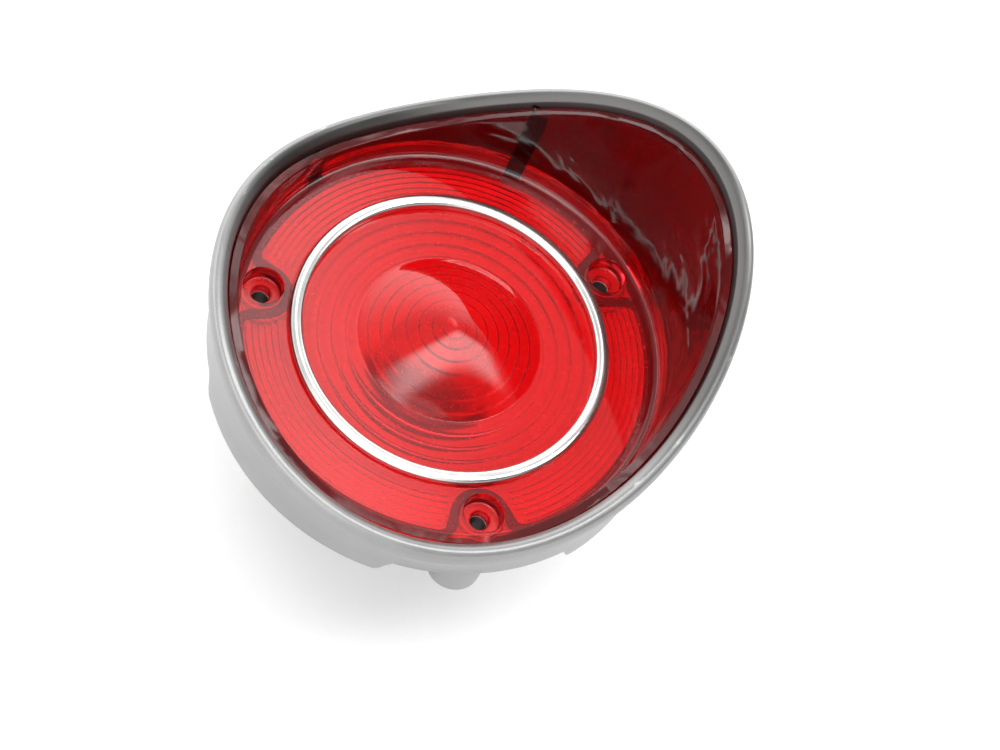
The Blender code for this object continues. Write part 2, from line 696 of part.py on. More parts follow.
def build_bulb_glass():
    neck = BASE_R - BASE_T - GAP
    centre = BULB_TOP - GLASS_R
    outside = [(0.0, BULB_TOP)]
    inside = [(0.0, BULB_TOP - GLASS_T)]
    for angle in (72.0, 54.0, 36.0, 18.0, 0.0, -18.0, -34.0):
        turn = math.radians(angle)
        outside.append((GLASS_R * math.cos(turn), centre + GLASS_R * math.sin(turn)))
        hollow = GLASS_R - GLASS_T
        inside.append((hollow * math.cos(turn), centre + hollow * math.sin(turn)))
    shoulder = centre - 0.92 * GLASS_R
    seam = BASE_TOP - 2.0 * MM
    outside += [(neck + 0.8 * MM, shoulder), (neck, BASE_TOP + 1.0 * MM), (neck, seam)]
    inside += [(neck, shoulder), (neck - GLASS_T, BASE_TOP + 1.0 * MM), (neck - GLASS_T, seam)]
    glass = turned("bulb_glass", outside + list(reversed(inside)), 32)
    place(glass, material("clear_glass", (0.95, 0.95, 0.95), 0.02, 0.0, 1.0))

    stem_top = BASE_TOP + 7.0 * MM
    stem = turned("bulb_stem", [
        (0.0, stem_top),
        (2.6 * MM, stem_top - 0.6 * MM),
        (2.6 * MM, BASE_TOP + 2.0 * MM),
        (neck - GLASS_T - GAP, BASE_TOP - 1.0 * MM),
        (neck - GLASS_T - GAP, seam),
        (0.0, seam),
    ], 24)
    place(stem, material("stem_glass", (0.85, 0.9, 0.9), 0.05, 0.0, 1.0))

    foot = stem_top + GAP
    for name, y, rise in (("stop", 1.3 * MM, 8.0 * MM), ("tail", -1.3 * MM, 5.0 * MM)):
        half = 3.4 * MM if name == "stop" else 2.4 * MM
        top = RING_Z + foot + rise
        bottom = RING_Z + foot
        filament = wire("filament_" + name, [
            Vector((-half * 0.5, y, bottom)),
            Vector((-half, y, top)),
            Vector((half, y, top)),
            Vector((half * 0.5, y, bottom)),
        ], 0.22 * MM)
        place(filament, material(name + "_tungsten", (0.45, 0.45, 0.47), 0.4, 1.0))


start()
build_housing()
build_lens()
build_trim_ring()
build_gasket()
build_studs()
build_socket()
build_sleeve()
build_socket_back()
build_carrier()
build_bulb_base()
build_bulb_glass()
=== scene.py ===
"""Round bumper tail lamp, lens up, piece by piece, and the table it stands on."""

import math

import bmesh
import bpy
from mathutils import Matrix, Vector


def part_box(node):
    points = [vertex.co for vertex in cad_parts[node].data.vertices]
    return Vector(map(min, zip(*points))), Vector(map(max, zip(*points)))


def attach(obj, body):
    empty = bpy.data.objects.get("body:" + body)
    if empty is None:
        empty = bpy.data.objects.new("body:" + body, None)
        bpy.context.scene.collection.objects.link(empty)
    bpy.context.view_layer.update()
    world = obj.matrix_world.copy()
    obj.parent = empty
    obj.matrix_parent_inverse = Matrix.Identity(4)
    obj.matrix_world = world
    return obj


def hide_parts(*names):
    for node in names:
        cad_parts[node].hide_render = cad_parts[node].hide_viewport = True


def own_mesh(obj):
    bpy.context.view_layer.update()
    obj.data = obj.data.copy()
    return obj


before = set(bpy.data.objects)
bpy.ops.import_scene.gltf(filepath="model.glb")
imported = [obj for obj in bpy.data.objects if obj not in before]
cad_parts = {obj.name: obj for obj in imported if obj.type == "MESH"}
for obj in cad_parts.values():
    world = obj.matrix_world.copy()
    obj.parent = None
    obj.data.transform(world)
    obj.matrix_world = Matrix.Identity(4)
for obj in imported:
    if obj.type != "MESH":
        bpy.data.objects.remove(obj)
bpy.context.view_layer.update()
MM = 0.001


# ---- housing ----------------------------------------------------------------------------------
# One zinc die casting: rim, skirt, seat for the lens, bowl and collar for the bulb socket.
# It is sprayed satin silver, and the bowl is left bright to throw the light forward.
RING_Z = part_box("trim_ring")[1].z - 1.0 * MM        # level of the lens face
SCREW_AT = (-90.0, 20.0, 160.0)
SCREW_CIRCLE = 48.3              # radius the screws stand on, in millimetres
SCREW_R = SCREW_CIRCLE * MM
KEY_AT = (62.0, 121.0)
STUD_AT = (60.0, 180.0, 300.0)
STUD_R = 31.0 * MM
LUG_AT = (90.0, 210.0, 330.0)
RIM_MEAN, RIM_TILT, RIM_SADDLE, RIM_RIPPLE = 19.1, 17.3, 11.7, 2.7      # in millimetres
TILT_AT, SADDLE_AT, RIPPLE_AT = (math.radians(crest) for crest in (22.0, 5.2, 24.6))
RIM_LINE = {"Rim Mean": RIM_MEAN * MM, "Rim Tilt": RIM_TILT * MM, "Tilt At": TILT_AT,
            "Rim Saddle": RIM_SADDLE * MM, "Saddle At": SADDLE_AT,
            "Rim Ripple": RIM_RIPPLE * MM, "Ripple At": RIPPLE_AT}
EDGE_DROP = 2.5                  # lens edge below the rim line, in millimetres
EDGE_LEAST = 1.0                 # and never lower than this over the face
WALL_R = 57.4                    # lens wall at the face, in millimetres
DRAFT = 0.05                     # how far the wall leans outwards as it rises
WELD = 0.0005 * MM               # points nearer than this are one
BOWL_R, BOWL_SPAN = 17.5, 23.5   # reflector bowl: foot radius and width, in millimetres
BOWL_Z, BOWL_RISE = -37.4, 28.5  # its foot under the lens face, and its rise
BOWL_T = 2.9                     # its thickness


def put(tree, kind, feeds=(), **settings):
    """Add a node, set it, and feed its inputs with sockets or plain values."""
    node = tree.nodes.new(kind)
    for key, value in settings.items():
        setattr(node, key, value)
    for place, feed in feeds.items() if isinstance(feeds, dict) else enumerate(feeds):
        if isinstance(feed, bpy.types.NodeSocket):
            tree.links.new(feed, node.inputs[place])
        elif feed is not None:
            node.inputs[place].default_value = feed
    return node


def calc(tree, operation, *feeds, clamp=False):
    return put(tree, 'ShaderNodeMath', feeds, operation=operation, use_clamp=clamp).outputs[0]


def new_group(name, kind, inputs, outputs):
    """A node tree with named inputs (name: socket type, default) and named outputs."""
    tree = bpy.data.node_groups.new(name, kind)
    for label, (socket, value) in inputs.items():
        made = tree.interface.new_socket(label, in_out='INPUT', socket_type=socket)
        if value is not None:
            made.default_value = value
    for label, socket in outputs.items():
        tree.interface.new_socket(label, in_out='OUTPUT', socket_type=socket)
    return tree, tree.nodes.new('NodeGroupInput').outputs, tree.nodes.new('NodeGroupOutput')


GEOMETRY = ('NodeSocketGeometry', None)
SIZE = ('NodeSocketFloat', 0.0)
COUNT = ('NodeSocketInt', 1)
FINISH = ('NodeSocketMaterial', None)


def sweep_tree():
    """Run a profile round the lamp axis; where it follows the rim line it rises and falls with it.

    The profile's points carry how much they follow the rim line, how far they lift beside the
    screws, how deep a thread and a grip are cut there.
    """
    sizes = ["Rim Mean", "Rim Tilt", "Tilt At", "Rim Saddle", "Saddle At", "Rim Ripple",
             "Ripple At", "Rim Floor", "Draft", "Pitch"]
    inputs = {"Profile": GEOMETRY, "Steps": COUNT, "Grips": COUNT, **{s: SIZE for s in sizes},
              "Finish": FINISH}
    tree, given, result = new_group("sweep_round_axis", 'GeometryNodeTree', inputs,
                                    {"Mesh": 'NodeSocketGeometry'})

    def sampled(field, kind):
        return put(tree, 'GeometryNodeSampleIndex', [given["Profile"], field, row],
                   data_type=kind, domain='POINT').outputs[0]

    def carried(name):
        return sampled(put(tree, 'GeometryNodeInputNamedAttribute', [name],
                           data_type='FLOAT').outputs[0], 'FLOAT')

    count = put(tree, 'GeometryNodeAttributeDomainSize', [given["Profile"]],
                component='MESH').outputs["Point Count"]
    grid = put(tree, 'GeometryNodeMeshGrid',
               [1.0, 1.0, calc(tree, 'ADD', given["Steps"], 1), count]).outputs[0]
    index = put(tree, 'GeometryNodeInputIndex').outputs[0]
    turn = calc(tree, 'FLOOR', calc(tree, 'DIVIDE', calc(tree, 'ADD', index, 0.5), count))
    row = calc(tree, 'SUBTRACT', index, calc(tree, 'MULTIPLY', turn, count))
    wrapped = calc(tree, 'MODULO', turn, given["Steps"])
    angle = calc(tree, 'DIVIDE', calc(tree, 'MULTIPLY', wrapped, math.tau), given["Steps"])
    base = put(tree, 'ShaderNodeSeparateXYZ',
               [sampled(put(tree, 'GeometryNodeInputPosition').outputs[0], 'FLOAT_VECTOR')])

    def wave(height, crest, times):
        away = calc(tree, 'MULTIPLY', calc(tree, 'SUBTRACT', angle, given[crest]), times)
        return calc(tree, 'MULTIPLY', calc(tree, 'COSINE', away), given[height])

    rim = calc(tree, 'ADD', given["Rim Mean"], wave("Rim Tilt", "Tilt At", 1.0))
    rim = calc(tree, 'ADD', rim, wave("Rim Saddle", "Saddle At", 2.0))
    rim = calc(tree, 'ADD', rim, wave("Rim Ripple", "Ripple At", 3.0))
    rim = calc(tree, 'MAXIMUM', rim, given["Rim Floor"])
    rise = calc(tree, 'MULTIPLY', rim, carried("follow"))

    nearest = None                                   # distance along the circle to a screw
    for screw in SCREW_AT:
        away = calc(tree, 'SUBTRACT', angle, math.radians(screw))
        away = calc(tree, 'ARCCOSINE', calc(tree, 'COSINE', away))
        nearest = away if nearest is None else calc(tree, 'MINIMUM', nearest, away)
    along = calc(tree, 'MULTIPLY', nearest, base.outputs[0])
    beside = put(tree, 'ShaderNodeMapRange',
                 {0: along, 1: carried("reach"),
                  2: calc(tree, 'ADD', carried("reach"), carried("soft")), 3: 1.0, 4: 0.0},
                 interpolation_type='SMOOTHSTEP', clamp=True).outputs[0]
    lift = calc(tree, 'MULTIPLY', beside, carried("lift"))
    z = calc(tree, 'ADD', calc(tree, 'ADD', base.outputs[2], rise), lift)

    screwed = calc(tree, 'SUBTRACT', calc(tree, 'DIVIDE', base.outputs[2], given["Pitch"]),
                   calc(tree, 'DIVIDE', angle, math.tau))
    groove = calc(tree, 'PINGPONG', screwed, 0.5)
    thread = calc(tree, 'MULTIPLY', calc(tree, 'MULTIPLY', groove, 2.0), carried("thread"))
    ridge = calc(tree, 'COSINE', calc(tree, 'MULTIPLY', angle, given["Grips"]))
    grip = calc(tree, 'MULTIPLY', calc(tree, 'MAXIMUM', ridge, -0.2), carried("grip"))
    r = calc(tree, 'ADD', base.outputs[0], calc(tree, 'MULTIPLY', rise, given["Draft"]))
    r = calc(tree, 'ADD', calc(tree, 'SUBTRACT', r, thread), grip)
    spot = put(tree, 'ShaderNodeCombineXYZ',
               [calc(tree, 'MULTIPLY', r, calc(tree, 'COSINE', angle)),
                calc(tree, 'MULTIPLY', r, calc(tree, 'SINE', angle)), z]).outputs[0]
    moved = put(tree, 'GeometryNodeSetPosition', {0: grid, 2: spot}).outputs[0]
    welded = put(tree, 'GeometryNodeMergeByDistance', {0: moved, "Distance": WELD})
    real = put(tree, 'GeometryNodeRealizeInstances', [welded.outputs[0]]).outputs[0]
    done = put(tree, 'GeometryNodeSetMaterial', {0: real, "Material": given["Finish"]})
    tree.links.new(done.outputs[0], result.inputs[0])
    return tree


SWEEP = sweep_tree()


def grown(name, source, tree, sizes):
    """Put a Geometry Nodes tree on a source object and keep what it makes as a plain mesh."""
    labels = {item.name: item.identifier for item in tree.interface.items_tree
              if item.item_type == 'SOCKET' and item.in_out == 'INPUT'}
    step = source.modifiers.new(tree.name, 'NODES')
    step.node_group = tree
    for label, value in sizes.items():
        step[labels[label]] = value
    seen = source.evaluated_get(bpy.context.evaluated_depsgraph_get())
    data = bpy.data.meshes.new_from_object(seen)
    source.modifiers.remove(step)
    bpy.data.objects.remove(source, do_unlink=True)
    return shown(name, data)


def shown(name, data):
    piece = bpy.data.objects.new(name, data)
    bpy.context.scene.collection.objects.link(piece)
    return piece


def rounded(corners, bends=4, closed=True):
    """Round the corners of a profile. A corner is (r, z, fillet, follow), in millimetres."""
    full = [tuple(c) + (0.0,) * (4 - len(c)) for c in corners]
    points = []
    for i, (r, z, fillet, follow) in enumerate(full):
        if not fillet or (not closed and i in (0, len(full) - 1)):
            points.append((r, z, follow))
            continue
        ends = []
        for other in (full[i - 1], full[(i + 1) % len(full)]):
            gap = math.hypot(other[0] - r, other[1] - z)
            share = min(fillet / gap, 0.48) if gap else 0.0
            ends.append([a + share * (b - a) for a, b in zip((r, z, follow),
                                                             (other[0], other[1], other[3]))])
        for bend in range(bends + 1):
            t = bend / bends
            points.append(tuple((1 - t) ** 2 * a + 2 * t * (1 - t) * b + t * t * c for a, b, c
                                in zip(ends[0], (r, z, follow), ends[1])))
    return points


def swept(name, points, finish_used, steps=96, closed=True, pitch=1.0, grips=1, floor=-100.0,
          **carried):
    """Sweep points (r, z, follow) in millimetres round the axis, at the height of the lens face."""
    data = bpy.data.meshes.new(name + "_profile")
    edges = [(i, i + 1) for i in range(len(points) - 1)]
    if closed:
        points = list(points) + [points[0]]
        edges.append((len(points) - 2, len(points) - 1))
        carried = {label: list(values) + [values[0]] for label, values in carried.items()}
    data.from_pydata([(p[0] * MM, 0.0, RING_Z + p[1] * MM) for p in points], edges, [])
    carried["follow"] = [p[2] if len(p) > 2 else 0.0 for p in points]
    for label, values in carried.items():
        data.attributes.new(label, 'FLOAT', 'POINT').data.foreach_set("value", values)
    piece = grown(name, shown(name + "_profile", data), SWEEP,
                  {**RIM_LINE, "Rim Floor": floor * MM, "Draft": DRAFT, "Steps": steps,
                   "Pitch": pitch * MM, "Grips": grips, "Finish": finish_used})
    outwards(piece)
    return piece


def outwards(piece):
    """Weld what coincides and make every face point outwards."""
    grid = bmesh.new()
    grid.from_mesh(piece.data)
    bmesh.ops.remove_doubles(grid, verts=grid.verts, dist=WELD)
    bmesh.ops.dissolve_degenerate(grid, edges=grid.edges, dist=WELD)
    bmesh.ops.recalc_face_normals(grid, faces=grid.faces)
    grid.to_mesh(piece.data)
    grid.free()


def carve(piece, tools, operation='DIFFERENCE'):
    """Add tools to a piece or cut them from it, one after another, and keep the plain mesh."""
    for number, tool in enumerate(tools):
        tool.data.materials.clear()
        step = piece.modifiers.new(f"step_{number}", 'BOOLEAN')
        step.operation = operation
        step.solver = 'EXACT'
        step.object = tool
    seen = piece.evaluated_get(bpy.context.evaluated_depsgraph_get())
    data = bpy.data.meshes.new_from_object(seen)
    piece.modifiers.clear()
    piece.data = data
    for tool in tools:
        bpy.data.objects.remove(tool, do_unlink=True)
    outwards(piece)
    return piece


def turned(name, corners, finish_used, steps=96, closed=False):
    """Turn corners (r, z, fillet) round the axis; an open profile runs from axis to axis."""
    return swept(name, rounded(corners, closed=closed), finish_used, steps, closed=closed)


def rod(corners, x=0.0, y=0.0, facets=48):
    """Turned tool standing at (x, y)."""
    tool = turned("rod", corners, None, facets)
    tool.data.transform(Matrix.Translation((x, y, 0.0)))
    return tool


def stud_spot(radius, azimuth):
    turn = math.radians(azimuth)
    return radius * math.cos(turn), radius * math.sin(turn)


def rods(radius, azimuths, corners, facets=48):
    """A turned tool at each azimuth of a circle."""
    return [rod(corners, *stud_spot(radius, azimuth), facets) for azimuth in azimuths]


def bar(size, centre, azimuth=0.0, lean=0.0, edge=0.15):
    """Bar of size (radial, tangential, axial), edges broken, centred at (r, z) on an azimuth."""
    grid = bmesh.new()
    bmesh.ops.create_cube(grid, size=1.0, matrix=Matrix.Diagonal((*(s * MM for s in size), 1.0)))
    if edge:
        bmesh.ops.bevel(grid, geom=grid.edges, offset=edge * MM, segments=2, profile=0.5,
                        affect='EDGES')
    stand = Matrix.Rotation(math.radians(azimuth), 4, 'Z')
    stand = stand @ Matrix.Translation((centre[0] * MM, 0.0, RING_Z + centre[1] * MM))
    stand = stand @ Matrix.Rotation(lean, 4, 'Y')
    grid.transform(stand)
    data = bpy.data.meshes.new("bar")
    grid.to_mesh(data)
    grid.free()
    return shown("bar", data)


def fitted(piece, finish_used, body, slot, *nodes, crease=38.0):
    """Finish and shade a piece, and say what it rides on and which CAD nodes it stands for."""
    piece.data.materials.clear()
    piece.data.materials.append(finish_used)
    for polygon in piece.data.polygons:
        polygon.material_index = 0
    piece.data.shade_smooth()
    piece.data.set_sharp_from_angle(angle=math.radians(crease))
    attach(piece, body)
    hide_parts(*nodes)
    return piece


def rim_height(azimuth):
    """Height of the rim line over the lens face, in millimetres."""
    a = math.radians(azimuth)
    return (RIM_MEAN + RIM_TILT * math.cos(a - TILT_AT)
            + RIM_SADDLE * math.cos(2 * (a - SADDLE_AT))
            + RIM_RIPPLE * math.cos(3 * (a - RIPPLE_AT)))


def key_top(azimuth):
    """Height of the top of a locating key on the lens wall, in millimetres."""
    return max(rim_height(azimuth) - EDGE_DROP, EDGE_LEAST) - 1.0


def key_bar(azimuth, depth, width, foot, top, edge):
    """Bar along the outside of the lens wall, leaning with its draft."""
    middle = (top + foot) / 2
    return bar((depth, width, top - foot), (WALL_R + DRAFT * middle, middle), azimuth,
               math.atan(DRAFT), edge=edge)


def bowl_z(r):
    """Height of the bowl at a radius, in millimetres."""
    return BOWL_Z + BOWL_RISE * ((r - BOWL_R) / BOWL_SPAN) ** 2


def bowl_back(r):
    """Point on the back of the bowl, straight behind the face at a radius."""
    steep = 2 * BOWL_RISE * (r - BOWL_R) / BOWL_SPAN ** 2
    across = math.hypot(1.0, steep)
    return r + BOWL_T * steep / across, bowl_z(r) - BOWL_T / across


# Shading effects that several finishes share, each with its own values there.
FACTOR = ('NodeSocketFloat', 1.0)


def own_place(tree):
    return put(tree, 'ShaderNodeTexCoord').outputs["Object"]


def apart(tree, vector):
    return put(tree, 'ShaderNodeSeparateXYZ', [vector]).outputs


def ramp(tree, value, low, high, start=0.0, end=1.0, how='SMOOTHSTEP'):
    return put(tree, 'ShaderNodeMapRange', {0: value, 1: low, 2: high, 3: start, 4: end},
               clamp=True, interpolation_type=how).outputs[0]


def more(tree, value, level):
    return calc(tree, 'GREATER_THAN', value, level)


def less(tree, value, level):
    return calc(tree, 'LESS_THAN', value, level)


def all_of(tree, first, *others):
    """Mask of where every one of the masks holds."""
    for mask in others:
        first = calc(tree, 'MULTIPLY', first, mask)
    return first


def grain_group():
    """Fine grain with broader clouds in it, on the piece's own coordinates."""
    tree, given, result = new_group("fine_grain", 'ShaderNodeTree',
                                    {"Scale": FACTOR, "Clouds": FACTOR},
                                    {"Shade": 'NodeSocketFloat', "Height": 'NodeSocketFloat'})
    where = own_place(tree)
    fine = put(tree, 'ShaderNodeTexNoise', {"Vector": where, "Scale": given["Scale"],
                                            "Detail": 3.0, "Roughness": 0.6}).outputs[0]
    wide = put(tree, 'ShaderNodeTexNoise', {"Vector": where, "Scale": given["Clouds"],
                                            "Detail": 2.0}).outputs[0]
    both = calc(tree, 'ADD', calc(tree, 'MULTIPLY', fine, 0.45), calc(tree, 'MULTIPLY', wide, 0.55))
    tree.links.new(both, result.inputs["Shade"])
    tree.links.new(fine, result.inputs["Height"])
    return tree


def patchy_group(name, found, span, patches, detail, roughness):
    """Mask of where a field of the surface lies in a span, broken up by patches of noise."""
    tree, given, result = new_group(name, 'ShaderNodeTree', {"Amount": FACTOR, "Scale": FACTOR},
                                    {"Mask": 'NodeSocketFloat'})
    field = ramp(tree, found(tree, put(tree, 'ShaderNodeNewGeometry').outputs), *span,
                 how='LINEAR')
    patch = put(tree, 'ShaderNodeTexNoise', {"Vector": own_place(tree), "Scale": given["Scale"],
                                             "Detail": detail, "Roughness": roughness}).outputs[0]
    mask = calc(tree, 'MULTIPLY', field, ramp(tree, patch, *patches, how='LINEAR'))
    mask = calc(tree, 'MULTIPLY', mask, given["Amount"], clamp=True)
    tree.links.new(mask, result.inputs["Mask"])
    return tree


def place_group():
    """Where a point is on the lamp, in metres from its axis and from the lens face.

    Draft Radius is its radius followed down the slope of the wall to the face.
    """
    labels = ("East", "North", "Radius", "Height", "Draft Radius")
    tree, given, result = new_group("place_on_lamp", 'ShaderNodeTree', {},
                                    {label: 'NodeSocketFloat' for label in labels})
    x, y, z = apart(tree, own_place(tree))
    radius = calc(tree, 'SQRT', calc(tree, 'ADD', calc(tree, 'POWER', x, 2.0),
                                     calc(tree, 'POWER', y, 2.0)))
    height = calc(tree, 'SUBTRACT', z, RING_Z)
    drafted = calc(tree, 'MULTIPLY_ADD', height, -DRAFT, radius)
    for label, value in zip(labels, (x, y, radius, height, drafted)):
        tree.links.new(value, result.inputs[label])
    return tree


GRAIN, PLACE = grain_group(), place_group()
WEAR = patchy_group("worn_edges", lambda tree, surface: surface["Pointiness"], (0.53, 0.62),
                    (0.42, 0.62), 4.0, 0.5)
DUST = patchy_group("settled_dust", lambda tree, surface: apart(tree, surface["Normal"])[2],
                    (0.2, 0.95), (0.48, 0.75), 6.0, 0.7)


def group(tree, kind, **feeds):
    return put(tree, 'ShaderNodeGroup', feeds, node_tree=kind).outputs


def blend_colour(tree, share, first, second):
    """Mix two colours, each a socket or three plain values."""
    first, second = ((*tone, 1.0) if isinstance(tone, tuple) else tone for tone in (first, second))
    return put(tree, 'ShaderNodeMix', {0: share, 6: first, 7: second}, data_type='RGBA',
               clamp_factor=True).outputs[2]


def new_finish(name):
    made = bpy.data.materials.new(name)
    made.use_nodes = True
    return made, made.node_tree, made.node_tree.nodes["Principled BSDF"]


def roughen(tree, shader, strength, depth, height):
    """Give the surface a relief of that depth, in millimetres."""
    relief = put(tree, 'ShaderNodeBump', {"Strength": strength, "Distance": depth * MM,
                                          "Height": height})
    tree.links.new(relief.outputs[0], shader.inputs["Normal"])


def finish(name, light, dark, rough, metallic=0.0, grain=900.0, clouds=60.0, bump=0.02,
           worn=None, wear=0.0, dust=0.0):
    """Opaque finish: two tones mixed by grain, worn edges, dust, uneven gloss and a fine bump."""
    made, tree, shader = new_finish(name)
    texture = group(tree, GRAIN, Scale=grain, Clouds=clouds)
    colour = blend_colour(tree, ramp(tree, texture["Shade"], 0.35, 0.65), dark, light)
    edges = group(tree, WEAR, Amount=wear, Scale=clouds * 9.0)["Mask"]
    colour = blend_colour(tree, edges, colour, worn or light)
    film = group(tree, DUST, Amount=dust, Scale=clouds * 4.0)["Mask"]
    colour = blend_colour(tree, film, colour, (0.55, 0.53, 0.50))
    gloss = ramp(tree, texture["Shade"], 0.3, 0.7, rough[0], rough[1])
    gloss = calc(tree, 'ADD', gloss, calc(tree, 'MULTIPLY', film, 0.3), clamp=True)
    tree.links.new(colour, shader.inputs["Base Color"])
    tree.links.new(gloss, shader.inputs["Roughness"])
    roughen(tree, shader, 0.35, bump, texture["Height"])
    shader.inputs["Metallic"].default_value = metallic
    return made


def silver_paint():
    """Satin silver paint over the casting's own tones.

    The bowl is bright and the wall behind the lens darker. The seat, the groove for the keys and
    the inner edge of the lip's tall side are painted shade, dark or near black.
    """
    made = finish("silver_paint", (0.31, 0.312, 0.31), (0.26, 0.262, 0.26), (0.30, 0.42), 0.8,
                  grain=2600.0, clouds=45.0, bump=0.03, worn=(0.78, 0.78, 0.77), wear=0.6,
                  dust=0.12)
    tree = made.node_tree
    shader = tree.nodes["Principled BSDF"]
    colour = shader.inputs["Base Color"].links[0].from_socket
    place = group(tree, PLACE)
    radius, height, drafted = place["Radius"], place["Height"], place["Draft Radius"]
    up = apart(tree, put(tree, 'ShaderNodeNewGeometry').outputs["Normal"])[2]
    inside = less(tree, radius, 57.2 * MM)
    bowl = all_of(tree, inside, less(tree, height, -6.3 * MM), more(tree, height, -39.0 * MM),
                  more(tree, up, 0.05))
    behind = all_of(tree, ramp(tree, height, -1.6 * MM, -0.6 * MM),
                    less(tree, drafted, (WALL_R + 0.45) * MM))
    # painted shade: the groove for the keys is painted dark, and its deeper part near black
    groove = all_of(tree, more(tree, height, -1.6 * MM), more(tree, drafted, (WALL_R + 0.45) * MM),
                    less(tree, drafted, (WALL_R + 1.75) * MM), less(tree, up, 0.15))
    cut = all_of(tree, groove, more(tree, drafted, (WALL_R + 0.95) * MM))
    # painted shade: the inner edge of the lip on its tall side is painted dark
    east, north = stud_spot(1.0, 50.0)
    tall = calc(tree, 'MULTIPLY_ADD', place["East"], east,
                calc(tree, 'MULTIPLY', place["North"], north))
    tall = calc(tree, 'DIVIDE', tall, radius)
    tall_lip_shade = all_of(tree, ramp(tree, drafted, (WALL_R + 2.2) * MM, (WALL_R + 3.0) * MM, 1.0, 0.0),
                  ramp(tree, tall, -0.45, 0.15), more(tree, height, 0.5 * MM))
    tall_lip_shade = calc(tree, 'MULTIPLY', tall_lip_shade, 0.8)
    # painted shade: the outer part of the seat, at the foot of the lens wall, is painted near black
    seat = all_of(tree, more(tree, radius, 53.4 * MM), more(tree, height, -6.6 * MM), inside,
                  less(tree, height, -4.5 * MM))
    # the bowl is bright and the wall behind the lens darker; the groove, the lip's tall side, the
    # seat and the groove's floor take painted shade
    for mask, tone in ((bowl, (0.95, 0.94, 0.92)), (behind, (0.30, 0.30, 0.30)),
                       (groove, (0.10, 0.092, 0.088)), (tall_lip_shade, (0.055, 0.052, 0.050)),
                       (seat, (0.010, 0.009, 0.009)), (cut, (0.006, 0.005, 0.005))):
        colour = blend_colour(tree, mask, colour, tone)
    tree.links.new(colour, shader.inputs["Base Color"])
    metal = calc(tree, 'MULTIPLY_ADD', bowl, -0.7, 0.8)
    tree.links.new(calc(tree, 'MULTIPLY_ADD', groove, -0.8, metal, clamp=True),
                   shader.inputs["Metallic"])
    return made


SILVER = silver_paint()
SEAT_Z, LEDGE_Z, SKIRT_Z, COLLAR_Z = -6.4, -8.9, -17.6, -46.0     # in millimetres
POST_Z = -43.9                   # back of the stud posts
LUG_GATE = 40.0                  # the lugs enter the collar this far round from where they lock
wall_foot = WALL_R + 0.3
housing_corners = [(14.2, COLLAR_Z, 0.4), (14.2, -43.0, 0.3), (BOWL_R, -43.0, 0.5),
                   (BOWL_R, BOWL_Z, 0.6)]
housing_corners += [(r, bowl_z(r)) for r in (18.5, 20, 22, 24, 26, 28, 30, 32, 34, 36, 38, 39.6)]
housing_corners += [
    (BOWL_R + BOWL_SPAN, LEDGE_Z, 0.8), (50.3, LEDGE_Z, 0.5), (50.3, SEAT_Z, 0.3),
    (57.38, SEAT_Z, 0.5),
    (wall_foot - 0.17, -3.5), (wall_foot + DRAFT * -2.9, -2.9, 0, 1),
    (wall_foot - 0.02, -0.5, 0.5, 1), (wall_foot + 1.5, 1.0, 0.7, 1),
    (wall_foot + 2.6, 1.3, 0.8, 1), (wall_foot + 3.7, 0.8, 0.8, 1),
    (wall_foot + 4.25, -0.9, 0.9, 1), (wall_foot + 4.2, -4.0, 0.9, 1),
    (wall_foot + 3.7, -5.3, 0.9, 1), (WALL_R + 3.3, -6.2, 1.2, 1),
    (WALL_R + 3.2 - 0.45, -9.0, 0, 1), (59.9, -11.0),
    (59.73, SKIRT_Z, 0.5), (52.3, SKIRT_Z, 0.5), (51.9, -11.8, 1.6)]
back = [bowl_back(r) for r in (36.5, 35, 33, 31, 29, 27, 25, 23, 21, 19)]
housing_corners += [p for p in back if p[1] < -12.6]
housing_corners += [(21.5, -40.6, 0.8), (21.5, COLLAR_Z, 0.6)]
profile = rounded(housing_corners)
under_skirt = [1.0 if p[1] < -16.0 and p[0] > 50.0 and p[2] == 0.0 else 0.0 for p in profile]
housing = swept("cast_housing", profile, SILVER, 288,        # cut back beside the screws
                lift=[5.8 * MM * under for under in under_skirt],
                reach=[22.0 * MM] * len(profile), soft=[4.0 * MM] * len(profile))

tools = []
for azimuth in SCREW_AT:
    x, y = stud_spot(SCREW_R, azimuth)
    tools.append(rod([(0, -33.0), (7.2, -33.0, 0.8), (7.2, -15.0), (7.6, -12.6), (8.2, -11.0),
                      (0, -10.2)], x, y))
    tools.append(rod([(0, -9.6), (8.0, -9.6), (8.0, SEAT_Z, 0.2), (0, SEAT_Z)], x, y))
for azimuth in STUD_AT:
    x, y = stud_spot(STUD_R, azimuth)
    post = rod([(0, POST_Z), (5.4, POST_Z, 0.6), (5.4, -30.0), (5.7, -26.0), (6.3, -25.0),
                (0, -25.0)], x, y)
    for vertex in post.data.vertices:                # its top follows the back of the bowl
        height = (vertex.co.z - RING_Z) / MM
        if height > -31.0:
            out = math.hypot(vertex.co.x, vertex.co.y) / MM
            vertex.co.z = RING_Z + (bowl_z(out) - 1.6 + 1.4 * (height + 25.0) / 6.0) * MM
    tools.append(post)
carve(housing, tools, 'UNION')

tools = []
for azimuth in SCREW_AT:
    x, y = stud_spot(SCREW_R, azimuth)
    tools.append(rod([(0, LEDGE_Z), (6.2, LEDGE_Z), (6.2, -4.0), (0, -4.0)], x, y, 64))
    tools.append(rod([(0, -35.0), (3.1, -35.0), (3.1, -33.0), (2.5, -32.4), (2.5, -7.0),
                      (0, -7.0)], x, y, 34))
tools += rods(STUD_R, STUD_AT, [(0, -44.7), (3.2, -44.7), (3.2, -43.6), (2.8, -43.2),
                                (2.8, -32.6), (0, -32.6)], 32)
tools += [key_bar(azimuth, 2.8, 5.2, -4.2, key_top(azimuth) + 0.3, 0) for azimuth in KEY_AT]
tools += [bar((7.4, 7.2, 4.0), (14.3, -44.5), azimuth + LUG_GATE, edge=0) for azimuth in LUG_AT]
carve(housing, tools)
fitted(housing, SILVER, "lamp", "silver_paint", "housing")


